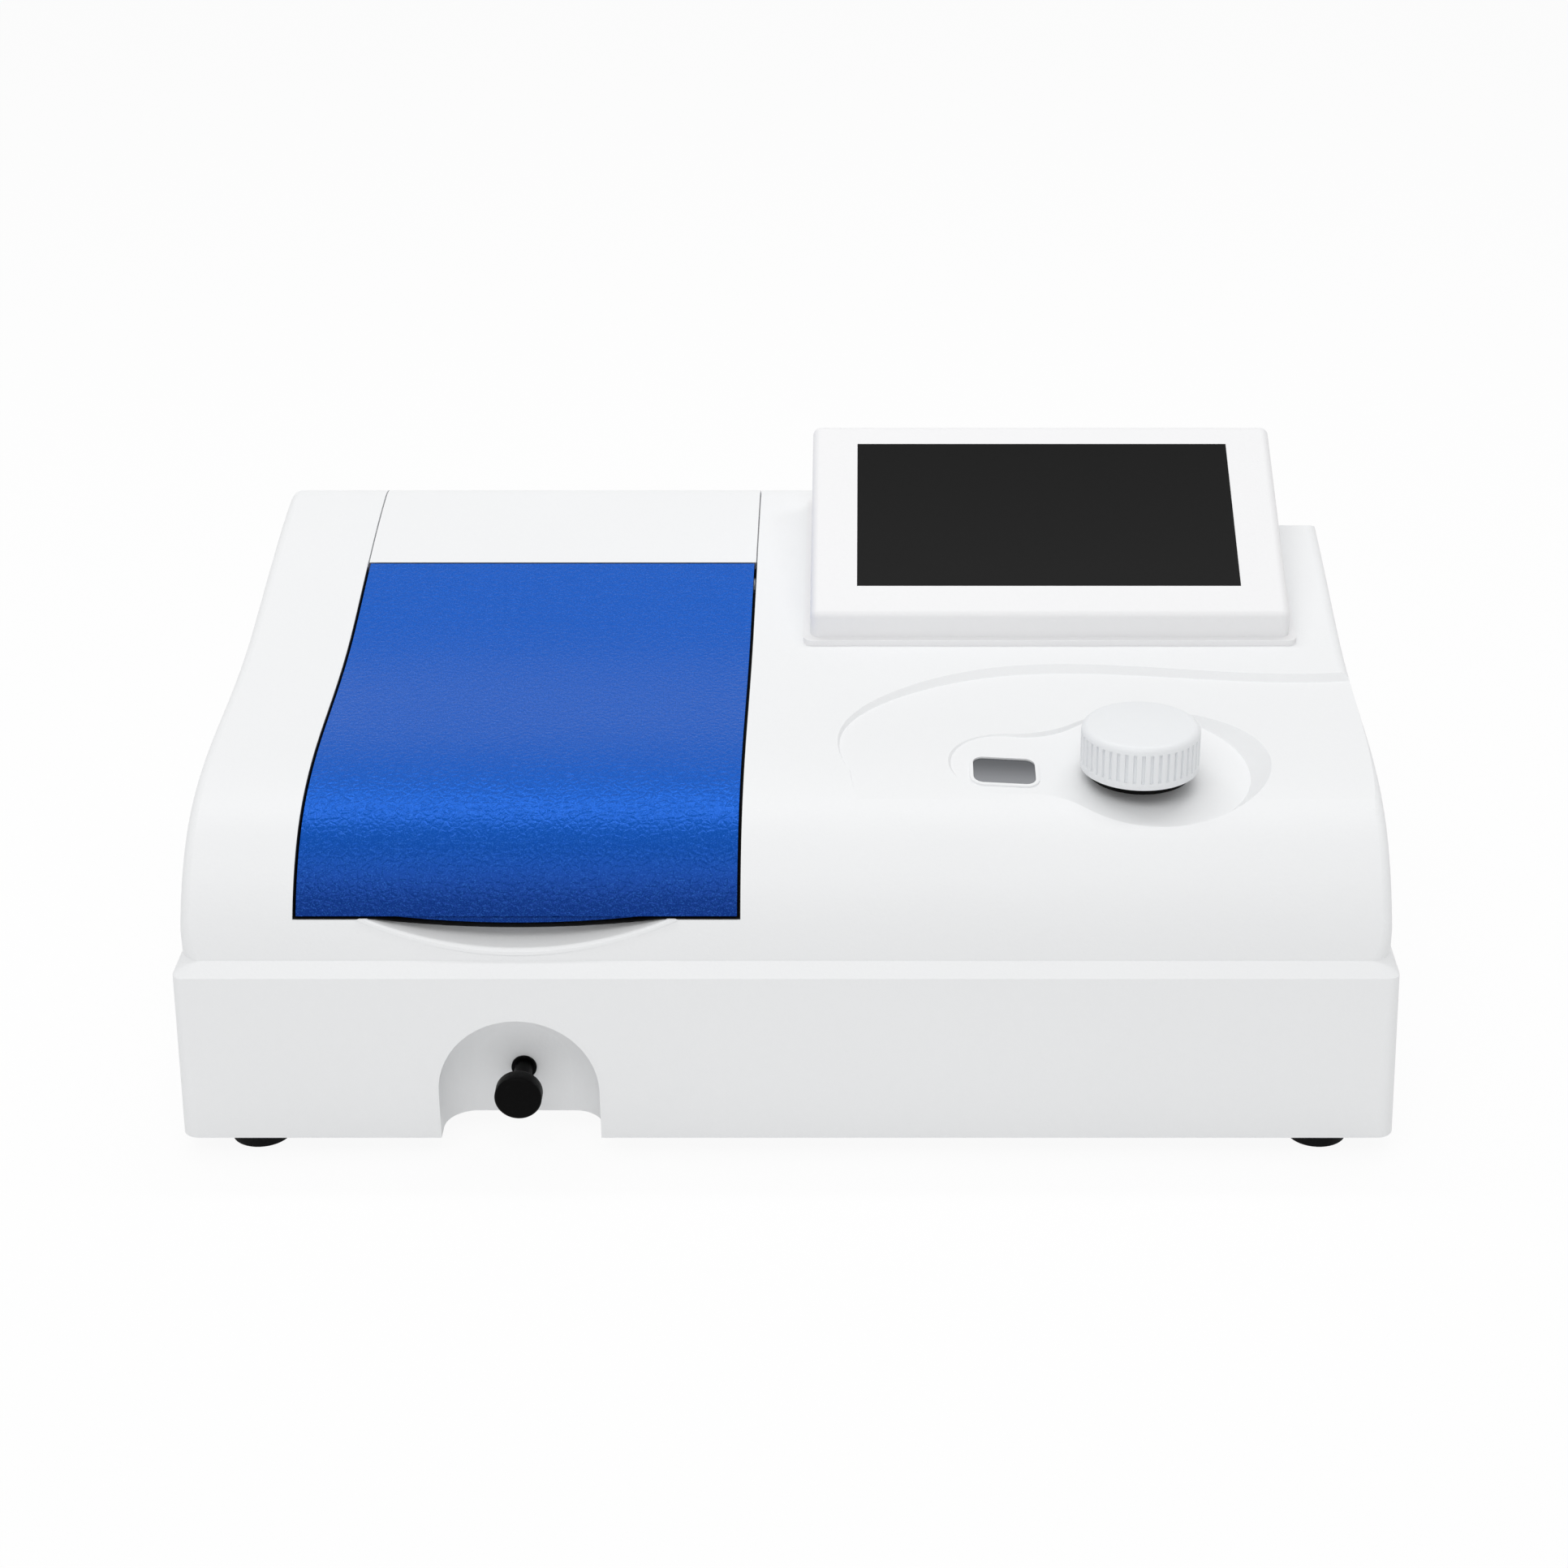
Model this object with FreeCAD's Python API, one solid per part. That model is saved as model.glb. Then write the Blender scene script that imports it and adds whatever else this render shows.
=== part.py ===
"""Visible spectrophotometer: sample compartment on the left, wavelength drive and tilted display on the right.

Lengths are millimetres. X runs to the right, Y from front to back, Z up from the table.
Places in Y are measured from the top front edge of the base and shifted to the middle on export.
"""
import FreeCAD, Part
import math
import os

V = FreeCAD.Vector

# Base housing
FOOT_HEIGHT = 8.5
BASE_HEIGHT = 68.6
BASE_WIDTH = 460.0
BASE_DEPTH = 316.0
BASE_FLARE = 2.2
BASE_CORNER = 4.5
SHOULDER_HEIGHT = 5.0
WALL = 3.0

# Upper casing
CASE_WIDTH = 455.0
CASE_INSET = 5.0
CASE_CORNER_FRONT = 9.0
CASE_CORNER_REAR = 18.0
CASE_EDGE = 4.0
CASE_REAR_INSET = 5.0
REAR_FLAT = 0.4
CASE_CURVE = [(0, 0), (4.5, 10.4), (15, 25.9), (33, 40.2), (60, 49.1),
              (105, 53.3), (160, 57.6), (201, 65.7), (245, 74.9), (280, 80.2)]
CURVE_DEPTH = 306.0

# Control area on the right
BAY_DROP_ANGLE = 1.7
BAY_PIVOT = (50.0, 127.5)
RIDGE = [(19, 67), (28, 119), (62, 144.5), (103, 153), (164, 148.5), (224, 146.5)]
SLOPE_START = (BASE_DEPTH - 48.0, 153.0)
SLOPE_ANGLE = 29.9
SLOPE_LEFT = 8.0
RIDGE_Z = 138.0
RIDGE_LEAN = 0.7

# Wavelength knob and window
KNOB_X = 135.6
KNOB_Y = 70.0
KNOB_RADIUS = 23.0
KNOB_HEIGHT = 17.5
KNOB_GAP = 6.1
KNOB_RIBS = 44
KNOB_RIB_DEPTH = 0.9
KNOB_BAND = 2.6
KNOB_EDGE = 3.0
KNOB_BORE = 12.0
COLLAR_RADIUS = 16.0
DISH_RADIUS = 42.0
DISH_OFFSET = (4.5, 7.0)
DISH_FLOOR = 126.2
DISH_TILT_BACK = 7.8
DISH_TILT_SIDE = 3.1
DISH_WALL_RUN = 2.5
DISH_WALL_LEAN = 0.9
NECK_RADIUS = 23.3
NECK_OFFSET = 4.7
NECK_FILLET = 30.0
WINDOW_X = 83.4
WINDOW_Y = 70.3
WINDOW_WIDTH = 24.1
WINDOW_DEPTH = 17.5
WINDOW_RIM = 1.4
WINDOW_RISE = 0.7
WINDOW_CORNER = 4.0
LENS_THICKNESS = 1.7

# Wavelength drive
GEAR_MODULE = 1.25
PINION_TEETH = 20
DIAL_TEETH = 80
DIAL_X = 83.4
DIAL_Y = 104.4
DIAL_RADIUS = 44.0
GEAR_Z = 106.0
GEAR_THICKNESS = 4.0
DIAL_Z = 113.0
DIAL_THICKNESS = 1.5
CAM_Z = 96.0
CAM_THICKNESS = 5.0
CAM_RADIUS = 26.0
CAM_HALF_TURN = 146.25
ROLLER_RADIUS = 5.0
ARM_LENGTH = 30.0
GRATING_SWING = 13.5
SHAFT_RADIUS = 4.0
RUNNING = 0.05
AIR = 0.3

# Display
DISPLAY_LEFT = 6.6
DISPLAY_RIGHT = 205.6
DISPLAY_FRONT_Y = BASE_DEPTH - 145.6
DISPLAY_FRONT_Z = 153.1
DISPLAY_REAR_Y = BASE_DEPTH - 40.0
DISPLAY_REAR_Z = 200.1
DISPLAY_BACK_LEAN = 6.0
DISPLAY_EDGE = 3.5
FLANGE_OUT = 2.8
FLANGE_HEIGHT = 2.4
SCREEN_WIDTH = 160.2
SCREEN_LENGTH = 85.4
SCREEN_START = 16.3
SCREEN_GLASS = 1.8
BOARD_THICKNESS = 1.6

# Sample bay
SEAM_LEFT = -184.9
SEAM_RIGHT = -17.1
LID_GAP = 1.3
LID_FRONT_Z = 97.2
LIP_DEPTH = 2.6
LIP_HALF = 52.0
LIP_SET_BACK = 1.2
LIP_THICKNESS = 2.0
LID_REAR_Y = BASE_DEPTH - 88.0
HOOD_GAP = 0.6
HOOD_BOTTOM_Z = 110.0
LID_THICKNESS = 3.0
SHELF_DROP = 1.2
SEAL_WALL = 0.4
SEAL_SET_BACK = 0.5
SHELF_THICKNESS = 3.0
SHELF_WIDTH = 8.0
SHELF_FRONT_Y = 38.0
SHELF_REAR_Y = BASE_DEPTH - 106.0
HINGE_Y = LID_REAR_Y - 5.0
HINGE_Z = 143.0
PIN_RADIUS = 1.75
KNUCKLE_RADIUS = 4.5
HINGE_AIR = 0.6
LID_SWING = 80.0
SCOOP_X = -100.7
SCOOP_RADIUS = 207.0
SCOOP_BOTTOM_Z = 82.9
SCOOP_WIDTH = 114.0
SCOOP_BACK_Y = 18.0
SCOOP_PITCH = 22.0

# Sample compartment and cell carriage
TUB_WALL = 2.5
TUB_LEFT = -170.0
TUB_RIGHT = -32.0
TUB_FRONT = 38.0
TUB_REAR = SHELF_REAR_Y
BEAM_Y = 130.0
BEAM_Z = 50.0
BEAM_HOLE = 8.0
ROD_X = -102.0
ROD_Z = 28.5
ROD_RADIUS = 3.5
ROD_COLLAR_RADIUS = 4.85
ROD_KNOB_RADIUS = 9.0
ROD_KNOB_THICKNESS = 6.5
ROD_KNOB_FRONT = -6.6
ROD_TRAVEL = 48.0
CELL_PITCH = 16.0
CELL_COUNT = 4
CELL_SLOT = 12.8
CARRIAGE_WALL = 3.0
CARRIAGE_TOP = 62.0
CARRIAGE_FLOOR = 33.0
RAIL_HEIGHT = 2.5
RAIL_SPACING = 30.0
RAIL_WIDTH = 5.0
ARCH_RADIUS = 30.6
ARCH_DEPTH = 17.5
ARCH_CORNER = 12.0

# Chassis
PLATE_THICKNESS = 2.0
PLATE_RECESS = 1.5
BENCH_THICKNESS = 6.0
FOOT_X = 205.0
FOOT_INSET = 16.0
FOOT_TOP_RADIUS = 13.0
FOOT_BOTTOM_RADIUS = 11.5
SCREW_RADIUS = 2.0
SCREW_HEAD_RADIUS = 3.8
SCREW_HEAD = 2.6
BOSS_RADIUS = 5.5
BOSS_HEIGHT = 24.0
RIB_THICKNESS = 2.5

# Monochromator
MONO_LEFT = -8.0
MONO_RIGHT = 206.0
MONO_FRONT = 24.0
MONO_REAR = BASE_DEPTH - 94.0
MONO_HEIGHT = 60.0
MONO_WALL = 4.0
MIRROR_RADIUS = 19.0
MIRROR_THICKNESS = 6.0
FOCUS_X = 190.0
COLLIMATOR_Y = 48.0
ENTRANCE_X = 14.0
GRATING_SIZE = 30.0
GRATING_THICKNESS = 6.0

# Rear panel and electrics
FAN_X = 16.0
FAN_Z = 47.0
FAN_SIZE = 60.0
FAN_DEPTH = 20.0
FAN_BORE = 28.0
ROTOR_RADIUS = 26.5
ROTOR_HUB = 11.0
ROTOR_BLADES = 7
INLET_X = BASE_WIDTH / 2 - 60.0
INLET_Z = 45.0
SWITCH_X = INLET_X - 42.0
ROCKER_SWING = 8.0
PORT_Z = 42.0
USB_X = -90.0
SERIAL_X = -140.0

BASE_BOTTOM = FOOT_HEIGHT
BASE_TOP = BASE_BOTTOM + BASE_HEIGHT
CASE_BOTTOM = BASE_TOP + SHOULDER_HEIGHT
CASE_FRONT = CASE_INSET
CASE_REAR = BASE_DEPTH - CASE_REAR_INSET
CURVE_STRETCH = (CASE_REAR - CASE_FRONT) / CURVE_DEPTH
PLATE_BOTTOM = BASE_BOTTOM + PLATE_RECESS
PLATE_TOP = PLATE_BOTTOM + PLATE_THICKNESS
BENCH_TOP = PLATE_TOP + BENCH_THICKNESS
TUB_FLOOR = BENCH_TOP + TUB_WALL
MONO_TOP = BENCH_TOP + MONO_HEIGHT
DISPLAY_TILT = math.degrees(math.atan2(DISPLAY_REAR_Z - DISPLAY_FRONT_Z, DISPLAY_REAR_Y - DISPLAY_FRONT_Y))
REAR_STAND = 2.8
Y_MIDDLE = (ROD_KNOB_FRONT + BASE_DEPTH + REAR_STAND) / 2
FAR = 400.0


def box(x0, x1, y0, y1, z0, z1):
    """Return a block between two corners."""
    return Part.makeBox(x1 - x0, y1 - y0, z1 - z0, V(x0, y0, z0))


def bar(start, end, radius):
    """Return a round bar between two points."""
    along = V(*end) - V(*start)
    return Part.makeCylinder(radius, along.Length, V(*start), along)


def upright(x, y, z0, z1, radius):
    """Return a vertical round bar."""
    return bar((x, y, z0), (x, y, z1), radius)


def fuse(shapes):
    """Return one solid made of overlapping shapes."""
    first, *others = shapes
    return first.fuse(others).removeSplitter() if others else first


def cut(shape, tools):
    """Return the shape without the tools."""
    return shape.cut(tools)


def arc(centre, radius, start, sweep, to_point):
    """Return an arc edge in the plane that to_point maps to."""
    ends = []
    for share in (0.0, 0.5, 1.0):
        angle = math.radians(start + share * sweep)
        ends.append(to_point(centre[0] + radius * math.cos(angle), centre[1] + radius * math.sin(angle)))
    return Part.Arc(*ends).toShape()


def plan_wire(half_width, y0, y1, z, front_radius, rear_radius):
    """Return a rounded rectangle seen from above."""
    corners = [(half_width - front_radius, y0 + front_radius, front_radius, 270),
               (half_width - rear_radius, y1 - rear_radius, rear_radius, 0),
               (rear_radius - half_width, y1 - rear_radius, rear_radius, 90),
               (front_radius - half_width, y0 + front_radius, front_radius, 180)]
    arcs = [arc((x, y), r, start, 90, lambda a, b: V(a, b, z)) for x, y, r, start in corners]
    edges = []
    for here, after in zip(arcs, arcs[1:] + arcs[:1]):
        edges.append(here)
        edges.append(Part.LineSegment(here.Vertexes[-1].Point, after.Vertexes[0].Point).toShape())
    return Part.Wire(edges)


def side_prism(points, x0, x1):
    """Return a prism along X with an outline given in Y and Z."""
    corners = [V(x0, y, z) for y, z in points]
    return Part.Face(Part.makePolygon(corners + corners[:1])).extrude(V(x1 - x0, 0, 0))


def plan_prism(points, z0, z1):
    """Return an upright prism with an outline given in X and Y."""
    corners = [V(x, y, z0) for x, y in points]
    return Part.Face(Part.makePolygon(corners + corners[:1])).extrude(V(0, 0, z1 - z0))


def vertical_edges(shape):
    """Return the edges that run along Z."""
    return [edge for edge in shape.Edges
            if edge.BoundBox.XLength < 1e-4 and edge.BoundBox.YLength < 1e-4]


def rounded_box(x0, x1, y0, y1, z0, z1, radius):
    """Return a block with rounded upright edges."""
    block = box(x0, x1, y0, y1, z0, z1)
    return block.makeFillet(radius, vertical_edges(block))


def turned(shape, angle, pivot, axis):
    """Return a turned copy of the shape."""
    copy = shape.copy()
    copy.rotate(V(*pivot), V(*axis), angle)
    return copy


def case_profile(inset):
    """Return the casing's side outline, moved inwards by an inset, as a face run on below the casing."""
    outer = Part.BSplineCurve()
    points = [V(0, CASE_FRONT + y * CURVE_STRETCH, CASE_BOTTOM + z) for y, z in CASE_CURVE]
    outer.interpolate(points)
    top = []
    for point in points:
        along = outer.tangent(outer.parameter(point))[0]
        top.append(point + V(0, along.z, -along.y) * inset)
    top[0].y = CASE_FRONT + inset
    curve = Part.BSplineCurve()
    curve.interpolate(top)
    slope = curve.tangent(curve.LastParameter)[0]
    lean = math.atan2(slope.z, slope.y)
    crest = top[-1]
    rear = CASE_REAR - inset + REAR_FLAT
    radius = (rear - crest.y) / (1 + math.sin(lean))
    centre = (crest.y + radius * math.sin(lean), crest.z - radius * math.cos(lean))
    bend = arc(centre, radius, 90 + math.degrees(lean), -90 - math.degrees(lean), lambda a, b: V(0, a, b))
    low = -FAR / 4
    corners = [V(0, rear, centre[1]), V(0, rear, low), V(0, top[0].y, low), top[0]]
    lines = [Part.LineSegment(a, b).toShape() for a, b in zip(corners, corners[1:])]
    return Part.Face(Part.Wire([curve.toShape(), bend] + lines))


def profile_body(inset):
    """Return the casing's side outline, moved inwards by an inset, extruded past both sides."""
    face = case_profile(inset)
    face.translate(V(-CASE_WIDTH, 0, 0))
    return face.extrude(V(2 * CASE_WIDTH, 0, 0))


def casing(inset):
    """Return the solid inside the casing's outer surface, moved inwards by an inset."""
    front_radius = max(CASE_CORNER_FRONT - inset, WALL)
    plan = plan_wire(CASE_WIDTH / 2 - inset, CASE_FRONT + inset, CASE_REAR - inset, 0,
                     front_radius, CASE_CORNER_REAR - inset)
    body = profile_body(inset).common(Part.Face(plan).extrude(V(0, 0, FAR)))
    if inset > 0:
        return body
    rims = [edge for edge in body.Edges
            if edge.BoundBox.ZMax > CASE_BOTTOM + 1 and edge.BoundBox.XLength < CASE_WIDTH / 2
            and (edge.BoundBox.XLength > 0.01 or edge.BoundBox.YLength > 0.01)]
    return body.makeFillet(CASE_EDGE, rims)


def ridge_prism(z0, z1):
    """Return the control area's plan as a prism whose wall leans outwards as it rises."""
    wires = []
    for z in (z0, z1):
        out = (z - RIDGE_Z) * RIDGE_LEAN
        (x_first, y_first), *others = RIDGE
        points = [V(x_first - out, y_first, z)] + [V(x - out / 2, y + out, z) for x, y in others]
        curve = Part.BSplineCurve()
        curve.interpolate(points)
        corners = [points[-1], V(CASE_WIDTH, points[-1].y, z), V(CASE_WIDTH, -CASE_INSET, z),
                   V(points[0].x, -CASE_INSET, z), points[0]]
        lines = [Part.LineSegment(a, b).toShape() for a, b in zip(corners, corners[1:])]
        wires.append(Part.Wire([curve.toShape()] + lines))
    return Part.makeLoft(wires, True, True)


def lowered(inset):
    """Return the casing solid tipped down to the control area's surface."""
    return turned(profile_body(inset), -BAY_DROP_ANGLE, (0, BAY_PIVOT[0], BAY_PIVOT[1]), (1, 0, 0))


def rear_slope(inset):
    """Return the space above the slope behind the display, moved inwards by an inset."""
    lean = math.radians(SLOPE_ANGLE)
    across = (-inset * math.sin(lean), -inset * math.cos(lean))
    points = []
    for y in (SLOPE_START[0] - 25, SLOPE_START[0] + 70):
        points.append((y + across[0], SLOPE_START[1] - (y - SLOPE_START[0]) * math.tan(lean) + across[1]))
    points += [(points[1][0], FAR), (points[0][0], FAR)]
    return side_prism(points, SLOPE_LEFT - inset, CASE_WIDTH)


def keyhole_wire(grow, z):
    """Return the outline round the knob and the window: two round ends joined by a drawn-in neck."""
    big = V(KNOB_X + DISH_OFFSET[0], KNOB_Y + DISH_OFFSET[1], z)
    small = V(WINDOW_X, WINDOW_Y + NECK_OFFSET, z)
    radius_big = DISH_RADIUS + grow
    radius_small = NECK_RADIUS + grow
    radius_neck = NECK_FILLET - grow
    across = small - big
    span = across.Length
    lean = math.degrees(math.atan2(across.y, across.x))
    a = radius_big + radius_neck
    b = radius_small + radius_neck
    at_big = math.degrees(math.acos((a * a + span * span - b * b) / (2 * a * span)))
    at_small = math.degrees(math.acos((b * b + span * span - a * a) / (2 * b * span)))
    turn = 180 - at_big - at_small

    def place(angle):
        return (big.x + a * math.cos(math.radians(angle)), big.y + a * math.sin(math.radians(angle)))

    pieces = [((big.x, big.y), radius_big, lean + at_big, 360 - 2 * at_big),
              (place(lean - at_big), radius_neck, lean - at_big + 180, -turn),
              ((small.x, small.y), radius_small, lean + 180 + at_small, 360 - 2 * at_small),
              (place(lean + at_big), radius_neck, lean - at_small, -turn)]
    return Part.Wire([arc(c, r, start, sweep, lambda p, q: V(p, q, z)) for c, r, start, sweep in pieces])


def on_dish(shape):
    """Return a shape drawn on the level of the dish's floor, tipped to that floor."""
    pivot = (KNOB_X, KNOB_Y, DISH_FLOOR)
    return turned(turned(shape, DISH_TILT_BACK, pivot, (1, 0, 0)), DISH_TILT_SIDE, pivot, (0, 1, 0))


def dish(wall):
    """Return the hollow round the knob and the window, grown by a wall."""
    rise = 14.0
    wires = [keyhole_wire(-DISH_WALL_RUN + wall, DISH_FLOOR - wall),
             keyhole_wire(-DISH_WALL_RUN + wall + rise * DISH_WALL_LEAN, DISH_FLOOR - wall + rise)]
    return on_dish(Part.makeLoft(wires, True, True))


def under_dish_floor(rise):
    """Return the solid under a plane that lies a little above the dish's floor."""
    slab = box(KNOB_X - 100, KNOB_X + 60, KNOB_Y - 60, KNOB_Y + 70, DISH_FLOOR - 25, DISH_FLOOR + rise)
    return on_dish(slab)


def lid_outline(gap, y0, y1, z_top):
    """Return the lid's front outline, grown by a gap, as a prism along Y."""
    return box(SEAM_LEFT + LID_GAP - gap, SEAM_RIGHT - LID_GAP + gap, y0, y1, LID_FRONT_Z - gap, z_top)


def lip_outline(gap):
    """Return the outline of the bowed lip under the lid's front edge, grown by a gap, as a prism along Y."""
    low = LID_FRONT_Z - gap
    left = V(SCOOP_X - LIP_HALF - gap, CASE_FRONT - WALL - 2, low)
    right = V(SCOOP_X + LIP_HALF + gap, CASE_FRONT - WALL - 2, low)
    bow = Part.Arc(left, V(SCOOP_X, left.y, low - LIP_DEPTH), right).toShape()
    up = V(0, 0, 2 * LIP_DEPTH)
    corners = [right, right + up, left + up, left]
    lines = [Part.LineSegment(a, b).toShape() for a, b in zip(corners, corners[1:])]
    return Part.Face(Part.Wire([bow] + lines)).extrude(V(0, SHELF_FRONT_Y, 0))


def scoop(grow):
    """Return the finger hollow under the lid's front edge."""
    axis = V(0, math.cos(math.radians(SCOOP_PITCH)), math.sin(math.radians(SCOOP_PITCH)))
    radius = SCOOP_RADIUS + grow
    start = V(SCOOP_X, 0, SCOOP_BOTTOM_Z + SCOOP_RADIUS / axis.y) - axis * 30
    drum = Part.makeCylinder(radius, 80, start, axis)
    half = SCOOP_WIDTH / 2 + 10 + grow
    limit = box(SCOOP_X - half, SCOOP_X + half, -5, SCOOP_BACK_Y + grow, BASE_TOP, LID_FRONT_Z + 6 + grow)
    return drum.common(limit)


def top_cover():
    """Return the upper casing with its openings, shelf and control area."""
    shell = casing(0)
    hollow = casing(WALL)
    half = CASE_WIDTH
    control = ridge_prism(RIDGE_Z - 20, RIDGE_Z + 20)
    shell = cut(shell, [control.cut(lowered(0)), dish(0), rear_slope(0)])
    hollow = cut(hollow, [control.cut(lowered(WALL)), dish(WALL), rear_slope(WALL), scoop(WALL)])
    cover = shell.cut(hollow)
    shelf_outer = box(SEAM_LEFT - WALL, SEAM_RIGHT + WALL, CASE_FRONT, SHELF_REAR_Y,
                      LID_FRONT_Z - LIP_DEPTH - LID_GAP - WALL, FAR)
    shelf_inner = box(SEAM_LEFT + SHELF_WIDTH, SEAM_RIGHT - SHELF_WIDTH, SHELF_FRONT_Y, FAR, 0, FAR)
    drop = LID_THICKNESS + SHELF_DROP
    step = lid_outline(LID_GAP, CASE_FRONT - WALL, FAR, FAR).fuse(lip_outline(LID_GAP)).cut(casing(drop))
    shelf = shelf_outer.common(casing(WALL - 0.5)).cut([casing(drop + SHELF_THICKNESS), shelf_inner])
    rail_zone = box(SEAM_LEFT - WALL, SEAM_RIGHT + WALL, LID_REAR_Y + 6, FAR, HOOD_BOTTOM_Z - WALL, FAR)
    rails = rail_zone.common(casing(WALL - 0.5)).cut([casing(WALL + SHELF_THICKNESS), shelf_inner])
    hinge_webs = [box(x, x + WALL, SHELF_REAR_Y, LID_REAR_Y + 6, HINGE_Z - KNUCKLE_RADIUS - 4, FAR)
                  .common(casing(WALL - 0.5)) for x in (SEAM_LEFT - WALL, SEAM_RIGHT)]
    opening = box(SEAM_LEFT, SEAM_RIGHT, LID_REAR_Y - 20, FAR, HOOD_BOTTOM_Z, FAR)
    hood_step = opening.cut(casing(WALL))
    cover = fuse([cover, shelf, rails] + hinge_webs)
    cover = cut(cover, [step.common(box(-half, half, -FAR, LID_REAR_Y + 1, 0, FAR)), hood_step, scoop(0)])
    floor = box(-half, half, -FAR, FAR, 0, CASE_BOTTOM)
    shaft_hole = upright(KNOB_X, KNOB_Y, 0, FAR, SHAFT_RADIUS + 3)
    window_pocket = window_block(0).cut(under_dish_floor(-LENS_THICKNESS))
    cable_hole = box(90, 122, DISPLAY_FRONT_Y + 45, DISPLAY_FRONT_Y + 65, CASE_BOTTOM + 20, FAR)
    cover = cut(cover, [floor, shaft_hole, window_pocket, window_block(-1), cable_hole] + vent_slots())
    return fuse([cover, window_frame()])


def window_block(grow):
    """Return a rounded upright block over the window, grown by a margin."""
    half_x = WINDOW_WIDTH / 2 + grow
    half_y = WINDOW_DEPTH / 2 + grow
    return rounded_box(WINDOW_X - half_x, WINDOW_X + half_x, WINDOW_Y - half_y, WINDOW_Y + half_y,
                       CASE_BOTTOM, FAR, WINDOW_CORNER + grow)


def window_frame():
    """Return the raised rim round the window."""
    ring = window_block(WINDOW_RIM).cut(window_block(0))
    return ring.common(under_dish_floor(WINDOW_RISE)).cut(under_dish_floor(-1))


def vent_slots():
    """Return the tools that cut cooling slots in the rear wall of the casing."""
    slots = []
    for side in (1, -1):
        for index in range(6):
            x = side * (72 + index * 22)
            slots.append(box(x - 2, x + 2, CASE_REAR - 8, CASE_REAR + 8, CASE_BOTTOM + 8, CASE_BOTTOM + 24))
    return slots


def base_shell():
    """Return the flared lower housing with its arch recess, bosses and rear openings."""
    def ring(inset, z0, z1, spread0, spread1):
        wires = []
        for z, spread in ((z0, spread0), (z1, spread1)):
            radius = max(BASE_CORNER + spread - inset, 1.0)
            wires.append(plan_wire(BASE_WIDTH / 2 + spread - inset, -spread + inset,
                                   BASE_DEPTH - inset, z, radius, radius))
        return Part.makeLoft(wires, True, True)

    skirt = ring(0, BASE_BOTTOM, BASE_TOP, BASE_FLARE, 0)
    low = plan_wire(BASE_WIDTH / 2, 0, BASE_DEPTH, BASE_TOP, BASE_CORNER, BASE_CORNER)
    high = plan_wire(CASE_WIDTH / 2, CASE_FRONT, CASE_REAR, CASE_BOTTOM, CASE_CORNER_FRONT, CASE_CORNER_REAR)
    shoulder = Part.makeLoft([low, high], True, True)
    hollow = ring(WALL, BASE_BOTTOM, CASE_BOTTOM - WALL, BASE_FLARE, 0)
    ledge = plan_wire(CASE_WIDTH / 2 - WALL - 7, CASE_FRONT + WALL + 7, CASE_REAR - WALL - 7,
                      CASE_BOTTOM - 2 * WALL, CASE_CORNER_FRONT, CASE_CORNER_FRONT)
    mouth = Part.Face(ledge).extrude(V(0, 0, 4 * WALL))
    shell = cut(fuse([skirt, shoulder]), [hollow, mouth])
    pocket = arch(WALL, ARCH_DEPTH + WALL).common(fuse([skirt, shoulder]))
    bosses = []
    for x, y in foot_places():
        side = 1 if x > 0 else -1
        boss = upright(x, y, PLATE_TOP, PLATE_TOP + BOSS_HEIGHT, BOSS_RADIUS)
        x0, x1 = sorted((x, side * (BASE_WIDTH / 2 - WALL / 2)))
        rib = box(x0, x1, y - RIB_THICKNESS / 2, y + RIB_THICKNESS / 2, PLATE_TOP + 2, PLATE_TOP + BOSS_HEIGHT)
        bosses.append(fuse([boss, rib]))
    shell = fuse([shell, pocket] + bosses)
    pilots = [upright(x, y, PLATE_TOP - 1, PLATE_TOP + BOSS_HEIGHT - 4, SCREW_RADIUS + RUNNING)
              for x, y in foot_places()]
    bush_hole = bar((ROD_X, 0, ROD_Z), (ROD_X, TUB_FRONT, ROD_Z), ROD_COLLAR_RADIUS)
    return cut(shell, [arch(0, ARCH_DEPTH), bush_hole] + pilots + rear_openings())


def arch(grow, depth):
    """Return the arch-shaped recess round the pull rod, open at the bottom."""
    radius = ARCH_RADIUS + grow
    y0 = -BASE_FLARE - WALL
    low = BASE_BOTTOM if grow else BASE_BOTTOM - WALL
    crown = arc((ROD_X, ROD_Z), radius, 0, 180, lambda a, b: V(a, y0, b))
    corners = [V(ROD_X - radius, y0, ROD_Z), V(ROD_X - radius, y0, low), V(ROD_X + radius, y0, low),
               V(ROD_X + radius, y0, ROD_Z)]
    lines = [Part.LineSegment(a, b).toShape() for a, b in zip(corners, corners[1:])]
    block = Part.Face(Part.Wire([crown] + lines)).extrude(V(0, depth - y0, 0))
    if grow:
        return block
    back = [edge for edge in block.Edges if edge.BoundBox.YMin > depth - 0.1 and edge.BoundBox.ZMax > low + 1]
    return block.makeFillet(ARCH_CORNER, back)


def foot_places():
    """Return where the four feet stand."""
    return [(x, y) for x in (-FOOT_X, FOOT_X) for y in (FOOT_INSET, BASE_DEPTH - FOOT_INSET)]


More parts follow.
